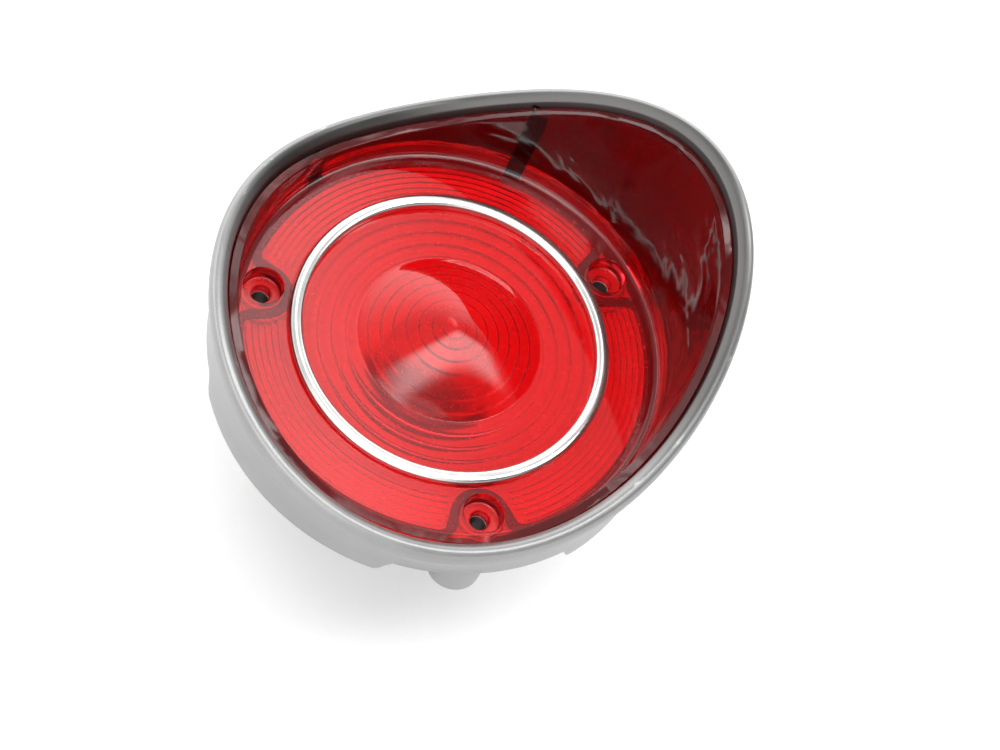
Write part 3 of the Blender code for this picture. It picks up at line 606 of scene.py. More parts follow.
# ---- lens gasket ------------------------------------------------------------------------------
# Die-cut black rubber on the cast seat: a ring that steps inwards round each screw pocket
# on a wide curve, so that the screw holes stay outside the seal.
RUBBER = finish("black_rubber", (0.022, 0.021, 0.021), (0.012, 0.012, 0.012), (0.62, 0.85),
                grain=1500.0, clouds=120.0, bump=0.05, dust=0.1)
MARGIN_R = 52.95                                     # middle of the seal between the screws
MARGIN_HALF = 0.85                                   # and half its width there
LOOP_R, LOOP_HALF = 6.6, 1.15                        # the same round a screw pocket
LOOP_LEAN = math.radians(20.0)
FOLLOW_STEP = 0.3


def gasket_path():
    """Middle line and half width of the seal, once round the lamp, in millimetres."""
    line = []
    for azimuth, following in zip(SCREW_AT, SCREW_AT[1:] + (SCREW_AT[0] + 360.0,)):
        half = []
        for step in range(23):                       # round the inner side of the pocket
            a = math.pi + (math.pi / 2 - LOOP_LEAN) * step / 22.0
            half.append((SCREW_CIRCLE + LOOP_R * math.cos(a), LOOP_R * math.sin(a), LOOP_HALF))
        (u, v, _), out, reach = half[-1], [], 0.0
        while math.hypot(u, v) < MARGIN_R - 0.9:     # along the straight side
            u += FOLLOW_STEP * math.cos(LOOP_LEAN)
            v -= FOLLOW_STEP * math.sin(LOOP_LEAN)
            reach += FOLLOW_STEP
            out.append((u, v, LOOP_HALF + 0.03 * reach))
        corner = math.atan2(v, u)
        far = corner - 4.2 / MARGIN_R
        bend = (MARGIN_R + 0.1) * math.cos(corner - 0.012), (MARGIN_R + 0.1) * math.sin(
            corner - 0.012)
        end = MARGIN_R * math.cos(far), MARGIN_R * math.sin(far)
        start = out[-5]
        half += out[:-4]
        for step in range(1, 15):                    # round the bend into the margin
            t = step / 14.0
            u, v = ((1 - t) ** 2 * a + 2 * t * (1 - t) * b + t * t * c
                    for a, b, c in zip(start, bend, end))
            half.append((u, v, start[2] + (MARGIN_HALF - start[2]) * t))
        turn = math.radians(azimuth)
        for u, v, w in half[:0:-1] + [(u, -v, w) for u, v, w in half]:
            line.append((u * math.cos(turn) - v * math.sin(turn),
                         u * math.sin(turn) + v * math.cos(turn), w))
        first, last = azimuth - math.degrees(far), following + math.degrees(far)
        count = int((last - first) / 1.5)
        for step in range(1, count):
            a = math.radians(first + (last - first) * step / count)
            line.append((MARGIN_R * math.cos(a), MARGIN_R * math.sin(a), MARGIN_HALF))
    return line


def band(name, line, bottom, top, finish_used):
    """Flat band of rubber along a closed line, its four edges slightly rounded."""
    grid = bmesh.new()
    rings = []
    count = len(line)
    soft = 0.15
    shape = [(-1, bottom + soft), (-1, top - soft), (-1 + 0.1, top), (1 - 0.1, top),
             (1, top - soft), (1, bottom + soft), (1 - 0.1, bottom), (-1 + 0.1, bottom)]
    for i, (x, y, half) in enumerate(line):
        ahead = Vector(line[(i + 1) % count][:2]) - Vector(line[i - 1][:2])
        side = Vector((ahead.y, -ahead.x)).normalized() * half
        rings.append([grid.verts.new(((x + side.x * s) * MM, (y + side.y * s) * MM,
                                      RING_Z + z * MM)) for s, z in shape])
    for i in range(count):
        here, there = rings[i], rings[(i + 1) % count]
        for j in range(len(shape)):
            k = (j + 1) % len(shape)
            grid.faces.new((here[j], here[k], there[k], there[j]))
    data = bpy.data.meshes.new(name)
    bmesh.ops.recalc_face_normals(grid, faces=grid.faces)
    grid.to_mesh(data)
    grid.free()
    data.materials.append(finish_used)
    return shown(name, data)


gasket = band("edge_gasket", gasket_path(), -6.1, -4.9, RUBBER)
fitted(gasket, RUBBER, "lamp", "black_rubber", "lens_gasket")


# ---- lens -------------------------------------------------------------------------------------
# Deep cup injection moulded in clear red acrylic, polished on the face. Its optics are under the
# face: rings below the dome and the dish, and long flutes outside the trim ring.
DOME_R, DISH_R = 23.3, 37.6                          # edges of the dome and the dish
FLAT_Z = -4.6                                        # underside outside the dish
FLUTE_R, FLUTE_PITCH, FLUTE_RISE = 41.9, 1.62, 0.16  # flutes: inner edge, spacing, rise outwards
RING_R, TAB_AT = 39.5, (-93.0, 46.0, 176.0)          # trim ring: middle radius and its tabs


def let_light_pass(tree, shader, colour):
    """Let light from the lamps through a clear piece, tinted, so its shadow is not solid."""
    lets = tree.nodes.new('ShaderNodeBsdfTransparent')
    passed = put(tree, 'ShaderNodeGamma', {"Color": colour, "Gamma": 0.5}).outputs[0]
    tree.links.new(passed, lets.inputs["Color"])
    ray = put(tree, 'ShaderNodeLightPath').outputs["Is Shadow Ray"]
    mix = put(tree, 'ShaderNodeMixShader', [ray, shader.outputs[0], lets.outputs[0]])
    tree.links.new(mix.outputs[0], tree.nodes["Material Output"].inputs["Surface"])


def red_acrylic():
    """Clear red acrylic, duller on optics; painted shade makes it deeper red up the wall and
    darkest over the keys.
    """
    made, tree, shader = new_finish("red_acrylic")
    place = group(tree, PLACE)
    radius, height = place["Radius"], place["Height"]
    shade = group(tree, GRAIN, Scale=700.0, Clouds=28.0)["Shade"]
    face = blend_colour(tree, ramp(tree, shade, 0.3, 0.7), (0.88, 0.022, 0.034),
                        (0.94, 0.032, 0.046))
    centre = ramp(tree, radius, (DOME_R - 0.7) * MM, (DOME_R + 0.3) * MM, 1.0, 0.0)
    face = blend_colour(tree, centre, face, (0.86, 0.016, 0.024))
    wall = calc(tree, 'MULTIPLY', ramp(tree, height, -0.4 * MM, 3.0 * MM),
                ramp(tree, radius, 53.6 * MM, 54.6 * MM))
    # painted shade: the wall is coloured a deeper red than the face
    deep = blend_colour(tree, ramp(tree, shade, 0.35, 0.65), (0.35, 0.0065, 0.0075),
                        (0.44, 0.0085, 0.010))
    colour = blend_colour(tree, wall, face, deep)
    # painted shade: the keys' outer faces are painted near black
    key = more(tree, place["Draft Radius"], (WALL_R + 0.2) * MM)
    colour = blend_colour(tree, key, colour, (0.05, 0.002, 0.002))
    for azimuth in KEY_AT:                           # painted shade over each key on the inner wall
        east, north = stud_spot(1.0, azimuth)
        ahead = calc(tree, 'MULTIPLY_ADD', place["East"], east,
                     calc(tree, 'MULTIPLY', place["North"], north))
        aside = calc(tree, 'MULTIPLY_ADD', place["East"], -north,
                     calc(tree, 'MULTIPLY', place["North"], east))
        key_shade = all_of(tree, more(tree, ahead, 54.0 * MM),
                       less(tree, calc(tree, 'ABSOLUTE', aside), 2.3 * MM),
                       less(tree, height, key_top(azimuth) * MM))
        colour = blend_colour(tree, key_shade, colour, (0.020, 0.001, 0.001))
    lap = calc(tree, 'MINIMUM', calc(tree, 'DIVIDE', radius, DOME_R * MM), 1.0)
    middle = calc(tree, 'MULTIPLY_ADD', calc(tree, 'POWER', lap, 1.4), -8.0 * MM, 4.5 * MM)
    optics = all_of(tree, less(tree, height, middle), less(tree, radius, 53.0 * MM))
    dust = group(tree, DUST, Amount=0.05, Scale=420.0)["Mask"]
    gloss = 0.03
    for mask, share in ((dust, 1.2), (wall, 0.06), (optics, 0.22)):
        gloss = calc(tree, 'ADD', gloss, calc(tree, 'MULTIPLY', mask, share))
    tree.links.new(colour, shader.inputs["Base Color"])
    tree.links.new(gloss, shader.inputs["Roughness"])
    shader.inputs["Transmission Weight"].default_value = 0.94
    shader.inputs["IOR"].default_value = 1.49
    waves = put(tree, 'ShaderNodeTexNoise', {"Vector": own_place(tree), "Scale": 62.0,
                                             "Detail": 1.5, "Distortion": 1.2}).outputs[0]
    roughen(tree, shader, 0.6, 1.1, calc(tree, 'MULTIPLY', waves, wall))
    let_light_pass(tree, shader, colour)
    return made


RED = red_acrylic()


def dome_z(r):
    return -2.0 + 8.0 * (1.0 - (r / DOME_R) ** 1.4)


def flute(r):
    """How far r is through its flute, from 0 to 1."""
    lap = (r - FLUTE_R) / FLUTE_PITCH
    return lap - math.floor(lap)


def optic_z(r):
    """Height of the underside with its optics, in millimetres."""
    if r < DOME_R:                                   # seven narrow prism rings under the dome
        lap = (r - 2.6) / 3.0
        share = lap - math.floor(lap)
        tooth = 0.55 * (1.0 - share / 0.86 if share < 0.86 else (share - 0.86) / 0.14)
        return dome_z(r) - 3.0 - (tooth if r > 2.6 else 0.25 * (r / 2.6) ** 2)
    if r < DISH_R:                                   # four broad soft steps under the dish
        share = (r - DOME_R) / 14.3
        lap = share * 4.0
        lap -= math.floor(lap)
        step = 0.6 * (0.5 - 0.5 * math.cos(math.tau * lap ** 1.7))
        return -5.0 + 0.4 * share - step
    if r < FLUTE_R:
        return FLAT_Z
    return (FLAT_Z + FLUTE_RISE * (r - FLUTE_R) / 9.0
            - 0.35 * (1.0 - abs(2.0 * flute(r) - 1.0) ** 2.2))


top_face = [(DOME_R * k / 26, dome_z(DOME_R * k / 26)) for k in range(27)]
edge_in = (54.9 + DRAFT * -EDGE_DROP, -EDGE_DROP, 0.3, 1)
edge_out = (WALL_R + DRAFT * -EDGE_DROP, -EDGE_DROP, 0.3, 1)
top_face += rounded([(23.4, -2.04), (24.0, -2.04), (37.2, -1.8), (37.55, -1.8, 0),
                     (41.45, -1.8, 0), (41.45, -1.2, 0.12), (41.7, -1.2), (53.2, -1.2),
                     (53.5, -1.2), (54.5, -0.9, 0.35), (54.88, -0.2), edge_in, edge_out,
                     (57.25, -2.9), (57.19, -4.3, 0.2), (52.5, -4.6)], closed=False)
radii = [52.4 - 0.27 * k for k in range(39)] + [41.8, 41.2, 40.4, 39.5, 38.6]
radii += [37.6 - 0.4 * k for k in range(36)] + [23.2 - 0.215 * k for k in range(109)]
underside = [(r, optic_z(r)) for r in radii if r > 0.05] + [(0.0, optic_z(0.0))]
cup = top_face + underside
fading = [0.0] * len(top_face)                       # the flutes fade out beside the screws
reaches = [0.0] * len(top_face)
for r, z in underside:
    flat = FLAT_Z + (FLUTE_RISE * (r - FLUTE_R) / 9.0 if r > FLUTE_R else 0.0)
    fading.append((flat - z) * MM if r > FLUTE_R else 0.0)
    tip = abs(2.0 * flute(r) - 1.0) ** 2
    reaches.append((8.6 + max(r - SCREW_CIRCLE, -3.0) * 0.55 + 0.9 * tip) * MM)
lens = swept("red_lens", cup, RED, 360, closed=False, floor=EDGE_DROP + EDGE_LEAST, lift=fading,
             reach=reaches, soft=[0.9 * MM] * len(cup))

tools = rods(SCREW_R, SCREW_AT, [(0, -8.6), (5.9, -8.6, 0.4), (5.9, -3.0), (0, -3.0)], 96)
tools += [key_bar(azimuth, 2.2, 4.6, -3.9, key_top(azimuth), 0.2) for azimuth in KEY_AT]
carve(lens, tools, 'UNION')
tools = rods(SCREW_R, SCREW_AT, [(0, -10.0), (2.5, -10.0), (2.5, -5.9), (2.75, -5.6),
                                 (4.9, -5.6, 0.5), (4.95, -1.6), (5.25, -1.1), (5.4, 0.5),
                                 (0, 0.5)], 94)
tools += [bar((1.4, 5.6, 8.0), (RING_R, -3.2), azimuth, edge=0) for azimuth in TAB_AT]
carve(lens, tools)
fitted(lens, RED, "lamp", "red_acrylic", "lens", crease=30.0)


# ---- trim ring --------------------------------------------------------------------------------
# Bright ring rolled from stainless strip and polished. Three tabs go through slots in the lens
# and are bent inwards under it.
BRIGHT = finish("polished_trim", (0.80, 0.79, 0.77), (0.74, 0.73, 0.72), (0.16, 0.24), 1.0,
                grain=1800.0, clouds=150.0, bump=0.006, dust=0.05)
crest = [(RING_R + 1.65 * math.cos(math.pi * k / 14), 1.0 * math.sin(math.pi * k / 14) ** 0.8)
         for k in range(15)]
ring = swept("bright_ring", crest + [(37.85, -1.4), (38.0, -1.5), (41.0, -1.5), (41.15, -1.4)],
             BRIGHT, 256)
tools = []
for azimuth in TAB_AT:
    tools.append(bar((0.8, 5.0, 4.9), (RING_R, -3.4), azimuth, edge=0.1))
    tools.append(bar((2.2, 4.6, 0.8), (38.7, -5.5), azimuth, edge=0.1))
carve(ring, tools, 'UNION')
fitted(ring, BRIGHT, "lamp", "polished_trim", "trim_ring")


# ---- studs ------------------------------------------------------------------------------------
# Three zinc plated steel studs screwed into the cast posts, each with a collar against the post.
# They hold the lamp to the car, and are its feet on a table.
PLATED = finish("stud_steel", (0.62, 0.60, 0.52), (0.48, 0.46, 0.40), (0.26, 0.44), 1.0,
                grain=1400.0, clouds=240.0, bump=0.02, worn=(0.75, 0.74, 0.70), wear=0.6)
PITCH, CORE_R, THREAD = 0.8, 2.5, 0.42 * MM          # thread: pitch, radius and depth
for name, azimuth in zip(("stud_upper", "stud_left", "stud_lower"), STUD_AT):
    x, y = stud_spot(STUD_R, azimuth)
    shank = [(0.0, -33.0), (1.9, -33.0), (CORE_R, -33.6)]
    depth = [0.0, 0.0, 0.0]
    z = -33.6
    while z > -43.0:                                 # thread in the casting
        z -= PITCH / 8
        shank.append((CORE_R, z))
        depth.append(THREAD)
    shank += [(CORE_R, -44.2), (4.3, -44.2), (4.6, -44.5), (4.6, -45.9), (4.3, -46.2),
              (CORE_R, -46.2)]
    depth += [0.0] * 6
    z = -47.4
    shank.append((CORE_R, -47.0))
    depth.append(0.0)
    while z > -69.0:                                 # thread for the nut, running in
        shank.append((CORE_R, z))
        depth.append(THREAD * min(1.0, (-47.0 - z) / 1.2))
        z -= PITCH / 8
    shank += [(2.3, -69.4), (1.8, -70.0), (0.0, -70.0)]
    depth += [0.1 * MM, 0.0, 0.0]
    stud = swept("threaded_" + name, shank, PLATED, 32, closed=False, pitch=PITCH, thread=depth)
    stud.data.transform(Matrix.Translation((x, y, 0.0)))
    fitted(stud, PLATED, "lamp", "stud_steel", name)


# ---- bulb socket ------------------------------------------------------------------------------
# Black moulded plastic holder that twists into the collar: three lugs under the cast lip, a flange
# that presses the rubber seal, and ribs behind it for the fingers.
PLASTIC = finish("black_phenolic", (0.035, 0.032, 0.030), (0.018, 0.016, 0.015), (0.34, 0.52),
                 grain=1100.0, clouds=90.0, bump=0.03, worn=(0.10, 0.095, 0.09), wear=0.5,
                 dust=0.08)
holder = rounded([
    (13.6, -39.1, 0.5), (13.6, -48.1, 0.2), (19.5, -48.1, 0.4), (19.5, -50.3, 0.4),
    (11.6, -50.3, 0.5), (11.2, -52.0, 0.2), (11.2, -52.6), (11.2, -64.6), (11.2, -65.4),
    (11.0, -66.6, 0.5), (8.95, -66.6, 0.2), (8.95, -39.1, 0.3)])
held = [0.45 * MM if p[0] > 11.1 and -65.0 < p[1] < -52.3 else 0.0 for p in holder]
socket = swept("socket_holder", holder, PLASTIC, 192, grips=24, grip=held)
tools = [bar((4.2, 6.0, 1.5), (14.7, -41.95), azimuth, edge=0.25) for azimuth in LUG_AT]
carve(socket, tools, 'UNION')
fitted(socket, PLASTIC, "socket", "black_phenolic", "socket_body")

seal = turned("socket_seal_ring", [(19.0, -46.35, 0.4), (19.0, -47.75, 0.4), (13.95, -47.75, 0.3),
                                   (13.95, -46.35, 0.3)], RUBBER, 128, closed=True)
fitted(seal, RUBBER, "socket", "black_rubber", "socket_seal")


# ---- socket sleeve ----------------------------------------------------------------------------
# Tinned brass sleeve pressed into the holder. Two J slots lock the bulb's pins, and a tail at its
# back is the ground terminal.
TINNED = finish("tinned_brass", (0.80, 0.75, 0.60), (0.66, 0.58, 0.40), (0.22, 0.40), 1.0,
                grain=1200.0, clouds=210.0, bump=0.01, worn=(0.85, 0.70, 0.40), wear=0.7)
SLEEVE_IN, SLEEVE_OUT = 7.9, 8.65
sleeve = turned("lock_sleeve", [(SLEEVE_OUT, -39.0, 0.2), (SLEEVE_OUT, -59.5, 0.2),
                                (SLEEVE_IN, -59.5, 0.2), (SLEEVE_IN, -39.0, 0.2)], TINNED, 128,
                closed=True)
carve(sleeve, [bar((0.75, 3.2, 10.7), (8.225, -63.85), 45.0, edge=0.12)], 'UNION')
PIN_AT = ((90.0, -45.6), (270.0, -48.8))             # azimuth and height of the bulb's two pins
PUSH, SLOT_HALF, MOUTH_Z = 2.5, 1.3, -38.0           # J slot: depth past the pin, half width, mouth


def slot_bar(azimuth, low, high):
    return bar((4.0, 2 * SLOT_HALF, high - low), (SLEEVE_IN, (high + low) / 2), azimuth, edge=0.3)


tools = []
for azimuth, pin in PIN_AT:
    low = pin - PUSH - SLOT_HALF
    tools.append(slot_bar(azimuth, low, pin + SLOT_HALF))
    tools += [bar((4.0, 2 * SLOT_HALF, 2 * SLOT_HALF), (SLEEVE_IN, low + SLOT_HALF),
                  azimuth + turn, edge=0.3) for turn in (7.0, 14.0, 21.0)]
    tools.append(slot_bar(azimuth + 28.0, low, MOUTH_Z))
carve(sleeve, tools)
fitted(sleeve, TINNED, "socket", "tinned_brass", "socket_sleeve")


# ---- contact spring ---------------------------------------------------------------------------
# Coil of bright spring wire that pushes the contact carrier, and with it the bulb, forward.


def coil_tree():
    """Round wire wound into an open coil along Z, its ends closed."""
    inputs = {"Start": GEOMETRY, "Turns": SIZE, "Radius": SIZE, "Length": SIZE, "Wire": SIZE,
              "Turn Steps": COUNT, "Wire Steps": COUNT, "Finish": FINISH}
    tree, given, result = new_group("wound_wire", 'GeometryNodeTree', inputs,
                                    {"Mesh": 'NodeSocketGeometry'})
    path = put(tree, 'GeometryNodeCurveSpiral', {
        "Resolution": given["Turn Steps"], "Rotations": given["Turns"],
        "Start Radius": given["Radius"], "End Radius": given["Radius"],
        "Height": given["Length"]}).outputs[0]
    round_wire = put(tree, 'GeometryNodeCurvePrimitiveCircle',
                     {"Resolution": given["Wire Steps"], "Radius": given["Wire"]}).outputs[0]
    solid = put(tree, 'GeometryNodeCurveToMesh', {"Curve": path, "Profile Curve": round_wire,
                                                  "Fill Caps": True}).outputs[0]
    real = put(tree, 'GeometryNodeRealizeInstances', [solid]).outputs[0]
    done = put(tree, 'GeometryNodeSetMaterial', {0: real, "Material": given["Finish"]})
    tree.links.new(done.outputs[0], result.inputs[0])
    return tree


COIL = coil_tree()


def wound(name, turns, radius, length, wire, finish_used, turn_steps=24, wire_steps=10):
    start = shown(name + "_start", bpy.data.meshes.new(name + "_start"))
    piece = grown(name, start, COIL, {
        "Turns": turns, "Radius": radius * MM, "Length": length * MM, "Wire": wire * MM,
        "Turn Steps": turn_steps, "Wire Steps": wire_steps, "Finish": finish_used})
    outwards(piece)
    return piece


SPRING = finish("spring_steel", (0.60, 0.60, 0.60), (0.42, 0.42, 0.43), (0.2, 0.34), 1.0,
                grain=2600.0, clouds=300.0, bump=0.004)
spring = wound("push_spring", 4.0, 5.6, -5.0, 0.35, SPRING)
spring.data.transform(Matrix.Translation((0.0, 0.0, RING_Z - 58.95 * MM)))
outwards(spring)
fitted(spring, SPRING, "socket", "spring_steel", "contact_spring")
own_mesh(spring)


# ---- end cap and terminals --------------------------------------------------------------------
# Brown fibre disc staked in the back of the holder, with the two brass blades for the tail and
# stop circuits through it, each crimped to its own contact.
FIBRE = finish("brown_fibre", (0.135, 0.058, 0.024), (0.075, 0.028, 0.010), (0.46, 0.64),
               grain=1500.0, clouds=260.0, bump=0.04, dust=0.06)
BRASS = finish("terminal_brass", (0.82, 0.64, 0.33), (0.68, 0.49, 0.22), (0.22, 0.38), 1.0,
               grain=1500.0, clouds=230.0, bump=0.012, worn=(0.9, 0.78, 0.5), wear=0.6)


def lying_rod(corners, azimuth, x, z):
    """Turned tool lying along an azimuth, its own middle at (x, z) in millimetres."""
    tool = rod(corners, facets=24)
    tool.data.transform(Matrix.Translation((0.0, 0.0, -RING_Z)))
    tool.data.transform(Matrix.Rotation(math.radians(90.0), 4, 'Y'))
    tool.data.transform(Matrix.Rotation(math.radians(azimuth), 4, 'Z'))
    tool.data.transform(Matrix.Translation((x * MM, 0.0, RING_Z + z * MM)))
    return tool


CIRCUITS = (("stop", 3.4), ("tail", -3.4))           # each with its offset from the axis
cap = turned("fibre_end_cap", [(0.0, -64.6), (SLEEVE_OUT, -64.6, 0.2), (SLEEVE_OUT, -66.6, 0.2),
                               (0.0, -66.6)], FIBRE)
tools = [bar((1.4, 3.8, 4.0), (x, -65.6), edge=0) for _, x in CIRCUITS]
tools.append(bar((1.95, 3.8, 4.0), (8.275, -65.6), 45.0, edge=0))
carve(cap, tools)
fitted(cap, FIBRE, "socket", "brown_phenolic", "socket_end_cap")
for name, x in CIRCUITS:
    blade = bar((0.8, 3.2, 5.6), (x, -66.4), edge=0.18)
    carve(blade, [lying_rod([(0, -3.0), (0.75, -3.0), (0.75, 3.0), (0, 3.0)], 0.0, x, -67.9)])
    blade.name = name + "_blade"
    fitted(blade, BRASS, "socket", "terminal_brass", "terminal_" + name)


# ---- contact carrier --------------------------------------------------------------------------
# Fibre disc that slides in the sleeve on its spring and carries a brass button for each circuit.
carrier = turned("button_carrier", [(0.0, -55.8), (7.6, -55.8, 0.25), (7.6, -58.3, 0.25),
                                    (0.0, -58.3)], FIBRE)
carve(carrier, [rod([(0, -59.0), (1.9, -59.0), (1.9, -55.0), (0, -55.0)], x * MM, 0.0, 32)
                for _, x in CIRCUITS])
fitted(carrier, FIBRE, "bulb", "brown_phenolic", "contact_carrier")
for name, x in CIRCUITS:
    button = rod([(0, -58.3), (1.6, -58.3, 0.2), (1.6, -56.0), (1.45, -55.6), (0.9, -55.35),
                  (0, -55.3)], x * MM, 0.0, 32)
    button.name = name + "_button"
    fitted(button, BRASS, "bulb", "terminal_brass", "contact_button_" + name)


# ---- bulb -------------------------------------------------------------------------------------
# Two-filament bayonet bulb. Brass base with pins at two heights, black glass insulator with two
# solder contacts, clear round envelope, pressed stem and two coiled tungsten filaments.
LACQUER = finish("bulb_brass", (0.86, 0.72, 0.42), (0.74, 0.58, 0.30), (0.16, 0.30), 1.0,
                 grain=1500.0, clouds=180.0, bump=0.008, worn=(0.92, 0.84, 0.6), wear=0.5)
base = turned("brass_base", [(7.6, -36.2, 0.2), (7.6, -52.6), (7.45, -53.4, 0.3), (6.95, -53.6),
                             (7.0, -52.8), (7.0, -36.2, 0.1)], LACQUER, closed=True)
carve(base, [lying_rod([(0, 6.9), (1.0, 6.9), (1.0, 8.4, 0.25), (0, 8.6)], azimuth, 0.0, height)
             for azimuth, height in PIN_AT], 'UNION')
fitted(base, LACQUER, "bulb", "bulb_brass", "bulb_base")

VITRITE = finish("black_insulator", (0.018, 0.017, 0.020), (0.009, 0.009, 0.011), (0.06, 0.16),
                 grain=700.0, clouds=110.0, bump=0.01)
insulator = turned("glass_insulator", [(0.0, -52.2), (6.7, -52.2, 0.1), (6.7, -53.4, 0.4),
                                       (6.0, -54.0, 0.3), (0.0, -54.0)], VITRITE)
carve(insulator, [rod([(0, -56.0), (1.9, -56.0), (1.9, -51.0), (0, -51.0)], x * MM, 0.0, 32)
                  for _, x in CIRCUITS])
fitted(insulator, VITRITE, "bulb", "black_glass", "bulb_insulator")
SOLDER = finish("solder", (0.66, 0.66, 0.68), (0.50, 0.50, 0.53), (0.26, 0.45), 1.0,
                grain=900.0, clouds=420.0, bump=0.05)
for name, x in CIRCUITS:
    blob = rod([(0, -52.0), (1.6, -52.0), (1.6, -54.0), (1.35, -54.6), (0.8, -54.92), (0, -55.0)],
               x * MM, 0.0, 32)
    blob.name = name + "_solder"
    fitted(blob, SOLDER, "bulb", "solder", "bulb_contact_" + name)


def clear_glass():
    """Clear lamp glass that lets lamp light pass, with a faint ripple and a little dust."""
    made, tree, shader = new_finish("clear_glass")
    shade = group(tree, GRAIN, Scale=500.0, Clouds=120.0)["Shade"]
    colour = blend_colour(tree, ramp(tree, shade, 0.3, 0.7), (0.93, 0.95, 0.94),
                          (0.98, 0.98, 0.97))
    dust = group(tree, DUST, Amount=0.06, Scale=500.0)["Mask"]
    tree.links.new(colour, shader.inputs["Base Color"])
    tree.links.new(calc(tree, 'ADD', 0.02, dust), shader.inputs["Roughness"])
    roughen(tree, shader, 0.2, 0.03, shade)
    shader.inputs["Transmission Weight"].default_value = 1.0
    shader.inputs["IOR"].default_value = 1.5
    let_light_pass(tree, shader, colour)
    return made


GLASS = clear_glass()
BULB_Z, BULB_OUT, BULB_IN = -17.2, 13.2, 12.4        # round envelope: its centre and its radii
outside, inside = [], []
for wall, radius in ((outside, BULB_OUT), (inside, BULB_IN)):
    for k in range(31):
        turn = math.radians(90.0 - 4.2 * k)
        wall.append((radius * math.cos(turn), BULB_Z + radius * math.sin(turn)))
outside += rounded([(8.6, -28.0, 1.4), (6.75, -33.0, 1.2), (6.7, -37.9, 0.1)])
inside += rounded([(7.9, -28.2, 1.2), (5.95, -33.4, 1.0), (5.9, -37.9, 0.1)])
outside[0], inside[0] = (0.0, -4.0), (0.0, -4.8)
envelope = swept("glass_envelope", outside + list(reversed(inside)), GLASS, 96, closed=False)
fitted(envelope, GLASS, "bulb", "clear_glass", "bulb_glass", crease=60.0)
stem = turned("pressed_stem", [
    (0.0, -29.1), (1.9, -29.1, 0.8), (2.4, -30.4, 0.6), (2.2, -33.0, 1.0), (5.4, -36.8, 0.6),
    (5.6, -37.9, 0.2), (0.0, -37.9)], GLASS, 64)
fitted(stem, GLASS, "bulb", "clear_glass", "bulb_stem", crease=60.0)

TUNGSTEN = finish("tungsten", (0.50, 0.50, 0.53), (0.36, 0.36, 0.39), (0.3, 0.45), 1.0,
                  grain=3000.0, clouds=500.0, bump=0.004)


def lead(points, radius):
    """Stiff wire bent through the points, in millimetres."""
    path = bpy.data.curves.new("lead", 'CURVE')
    path.dimensions = '3D'
    path.bevel_depth = radius * MM
    path.bevel_resolution = 2
    path.use_fill_caps = True
    line = path.splines.new('POLY')
    line.points.add(len(points) - 1)
    for point, (x, y, z) in zip(line.points, points):
        point.co = (x * MM, y * MM, RING_Z + z * MM, 1.0)
    rough = shown("lead", path)
    seen = rough.evaluated_get(bpy.context.evaluated_depsgraph_get())
    data = bpy.data.meshes.new_from_object(seen)
    bpy.data.objects.remove(rough, do_unlink=True)
    wire = shown("lead", data)
    outwards(wire)
    return wire


def joined(name, parts, finish_used):
    """One piece from several meshes that touch."""
    grid = bmesh.new()
    for part in parts:
        grid.from_mesh(part.data)
        bpy.data.objects.remove(part, do_unlink=True)
    data = bpy.data.meshes.new(name)
    grid.to_mesh(data)
    grid.free()
    data.materials.append(finish_used)
    for polygon in data.polygons:
        polygon.material_index = 0
    return shown(name, data)


STEM_TOP = -28.7
for name, y, rise, half in (("stop", 1.3, 8.0, 3.4), ("tail", -1.3, 5.0, 2.4)):
    top = STEM_TOP + rise
    coil = wound(name + "_coil", 12.0, 0.15, 2 * half - 0.5, 0.06, TUNGSTEN, 12, 6)
    coil.data.transform(Matrix.Rotation(math.radians(90.0), 4, 'Y'))
    coil.data.transform(Matrix.Translation(((-half + 0.25) * MM, y * MM, RING_Z + top * MM)))
    leads = [lead([(s * half * 0.5, y, STEM_TOP), (s * half * 0.62, y, STEM_TOP + 0.3 * rise),
                   (s * half, y, top - 0.1), (s * half, y, top + 0.15)], 0.19)
             for s in (-1.0, 1.0)]
    filament = joined(name + "_filament", [coil] + leads, TUNGSTEN)
    fitted(filament, TUNGSTEN, "bulb", "tungsten", "filament_" + name)


# ---- table, light and camera ------------------------------------------------------------------
# A plain white table in a light tent: soft light from all sides, stronger from the lower left,
# two soft bright patches overhead, a large soft panel in front, and the camera over the lower left.
def paper():
    made, tree, shader = new_finish("table_paper")
    shade = group(tree, GRAIN, Scale=400.0, Clouds=6.0)["Shade"]
    colour = blend_colour(tree, shade, (0.82, 0.82, 0.82), (0.86, 0.86, 0.86))
    tree.links.new(colour, shader.inputs["Base Color"])
    shader.inputs["Roughness"].default_value = 0.9
    shader.inputs["Emission Color"].default_value = (1.0, 1.0, 1.0, 1.0)
    shader.inputs["Emission Strength"].default_value = 0.04
    return made


REACH, TABLE_Z = 6.0, -0.0002
table = bpy.data.meshes.new("table")
corners = ((-1, -1), (1, -1), (1, 1), (-1, 1))
table.from_pydata([(x * REACH, y * REACH, TABLE_Z) for x, y in corners], [], [(0, 1, 2, 3)])
table.materials.append(paper())
floor = shown("table", table)


def panel(name, centre, aim, size, power):
    """Large soft light at centre, turned to aim; metres and watts."""
    light = bpy.data.lights.new(name, 'AREA')
    light.shape = 'RECTANGLE'
    light.size, light.size_y = size
    light.energy = power
    made = bpy.data.objects.new(name, light)
    bpy.context.scene.collection.objects.link(made)
    made.location = centre
    made.visible_camera = False
    made.rotation_euler = (Vector(aim) - Vector(centre)).to_track_quat('-Z', 'Y').to_euler()


panel("front_panel", (-0.45, -0.85, 1.05), (0.0, 0.0, 0.05), (1.3, 1.3), 4.5)

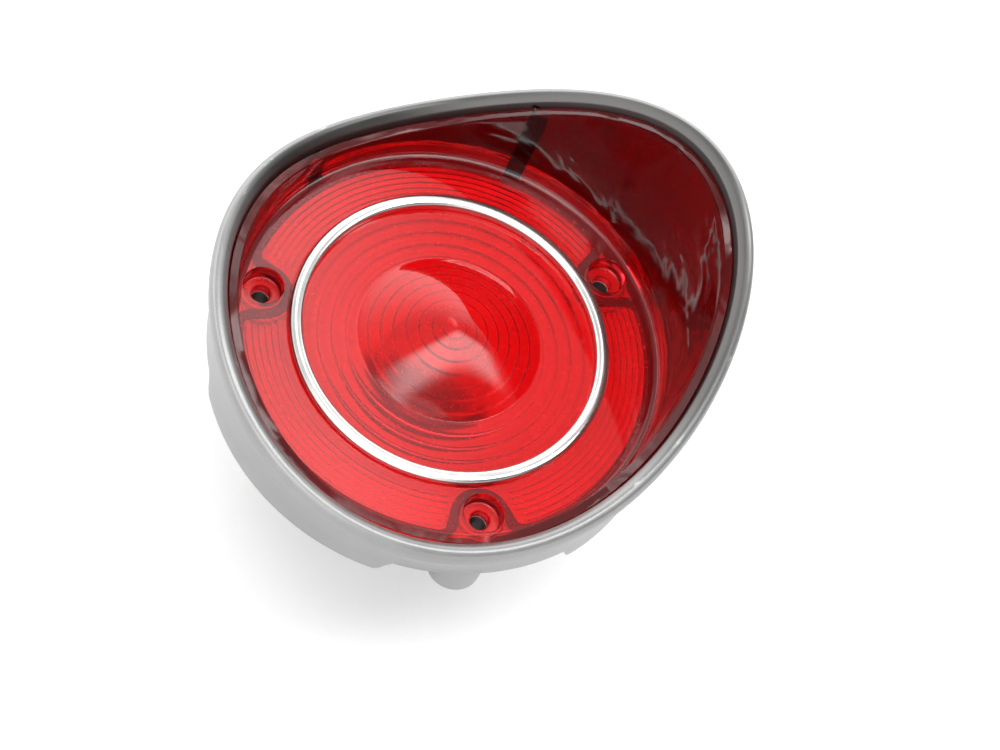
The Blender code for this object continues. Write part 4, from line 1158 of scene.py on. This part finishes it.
world = bpy.data.worlds.new("light_tent")
world.use_nodes = True
bpy.context.scene.world = world
tree = world.node_tree
tent = tree.nodes["Background"]
east, north, up = apart(tree, put(tree, 'ShaderNodeTexCoord').outputs["Generated"])
side = calc(tree, 'SUBTRACT', east, north)
tone = calc(tree, 'MULTIPLY', ramp(tree, up, 0.3, 0.85, 1.0, 0.25),
            ramp(tree, side, -0.2, 0.9, 1.0, 0.24))
lean_y, lean_x = calc(tree, 'DIVIDE', north, up), calc(tree, 'DIVIDE', east, up)


def sky_patch(tone, strength, south_edge, north_edge, west_edge, east_edge):
    """Add a soft bright patch of the tent's roof; each edge is where it starts and ends to fade."""
    patch = all_of(tree, ramp(tree, lean_y, *south_edge), ramp(tree, lean_y, *north_edge, 1.0, 0.0),
                   ramp(tree, lean_x, *east_edge, 1.0, 0.0), ramp(tree, lean_x, *west_edge),
                   more(tree, up, 0.1))
    return calc(tree, 'MULTIPLY_ADD', patch, strength, tone)


tone = sky_patch(tone, 0.72, (0.2, 0.42), (0.8, 1.1), (0.0, 0.18), (0.25, 0.37))
tone = sky_patch(tone, 1.9, (-0.28, -0.12), (0.05, 0.2), (-0.6, -0.3), (0.8, 1.1))
tree.links.new(put(tree, 'ShaderNodeCombineXYZ', [tone, tone, tone]).outputs[0],
               tent.inputs["Color"])
tent.inputs["Strength"].default_value = 2.75
white = put(tree, 'ShaderNodeBackground', {"Color": (1.0, 1.0, 1.0, 1.0), "Strength": 1.0})
seen = put(tree, 'ShaderNodeLightPath').outputs["Is Camera Ray"]
both = put(tree, 'ShaderNodeMixShader', [seen, tent.outputs[0], white.outputs[0]])
tree.links.new(both.outputs[0], tree.nodes["World Output"].inputs["Surface"])

eye = bpy.data.cameras.new("camera")
eye.lens = 79.2
eye.sensor_width = 36.0
eye.clip_start = 0.01
camera = bpy.data.objects.new("camera", eye)
bpy.context.scene.collection.objects.link(camera)
right, above, behind = ((0.9505, -0.1766, 0.2555), (0.0402, 0.8857, 0.4624),
                        (-0.3080, -0.4293, 0.8490))
camera.matrix_world = Matrix.Translation((-0.1585, -0.2474, 0.5359)) @ Matrix(
    (right, above, behind)).transposed().to_4x4()
bpy.context.scene.camera = camera
bpy.context.scene.view_settings.view_transform = 'Standard'
bpy.context.scene.cycles.use_denoising = True
bpy.context.scene.cycles.caustics_refractive = True
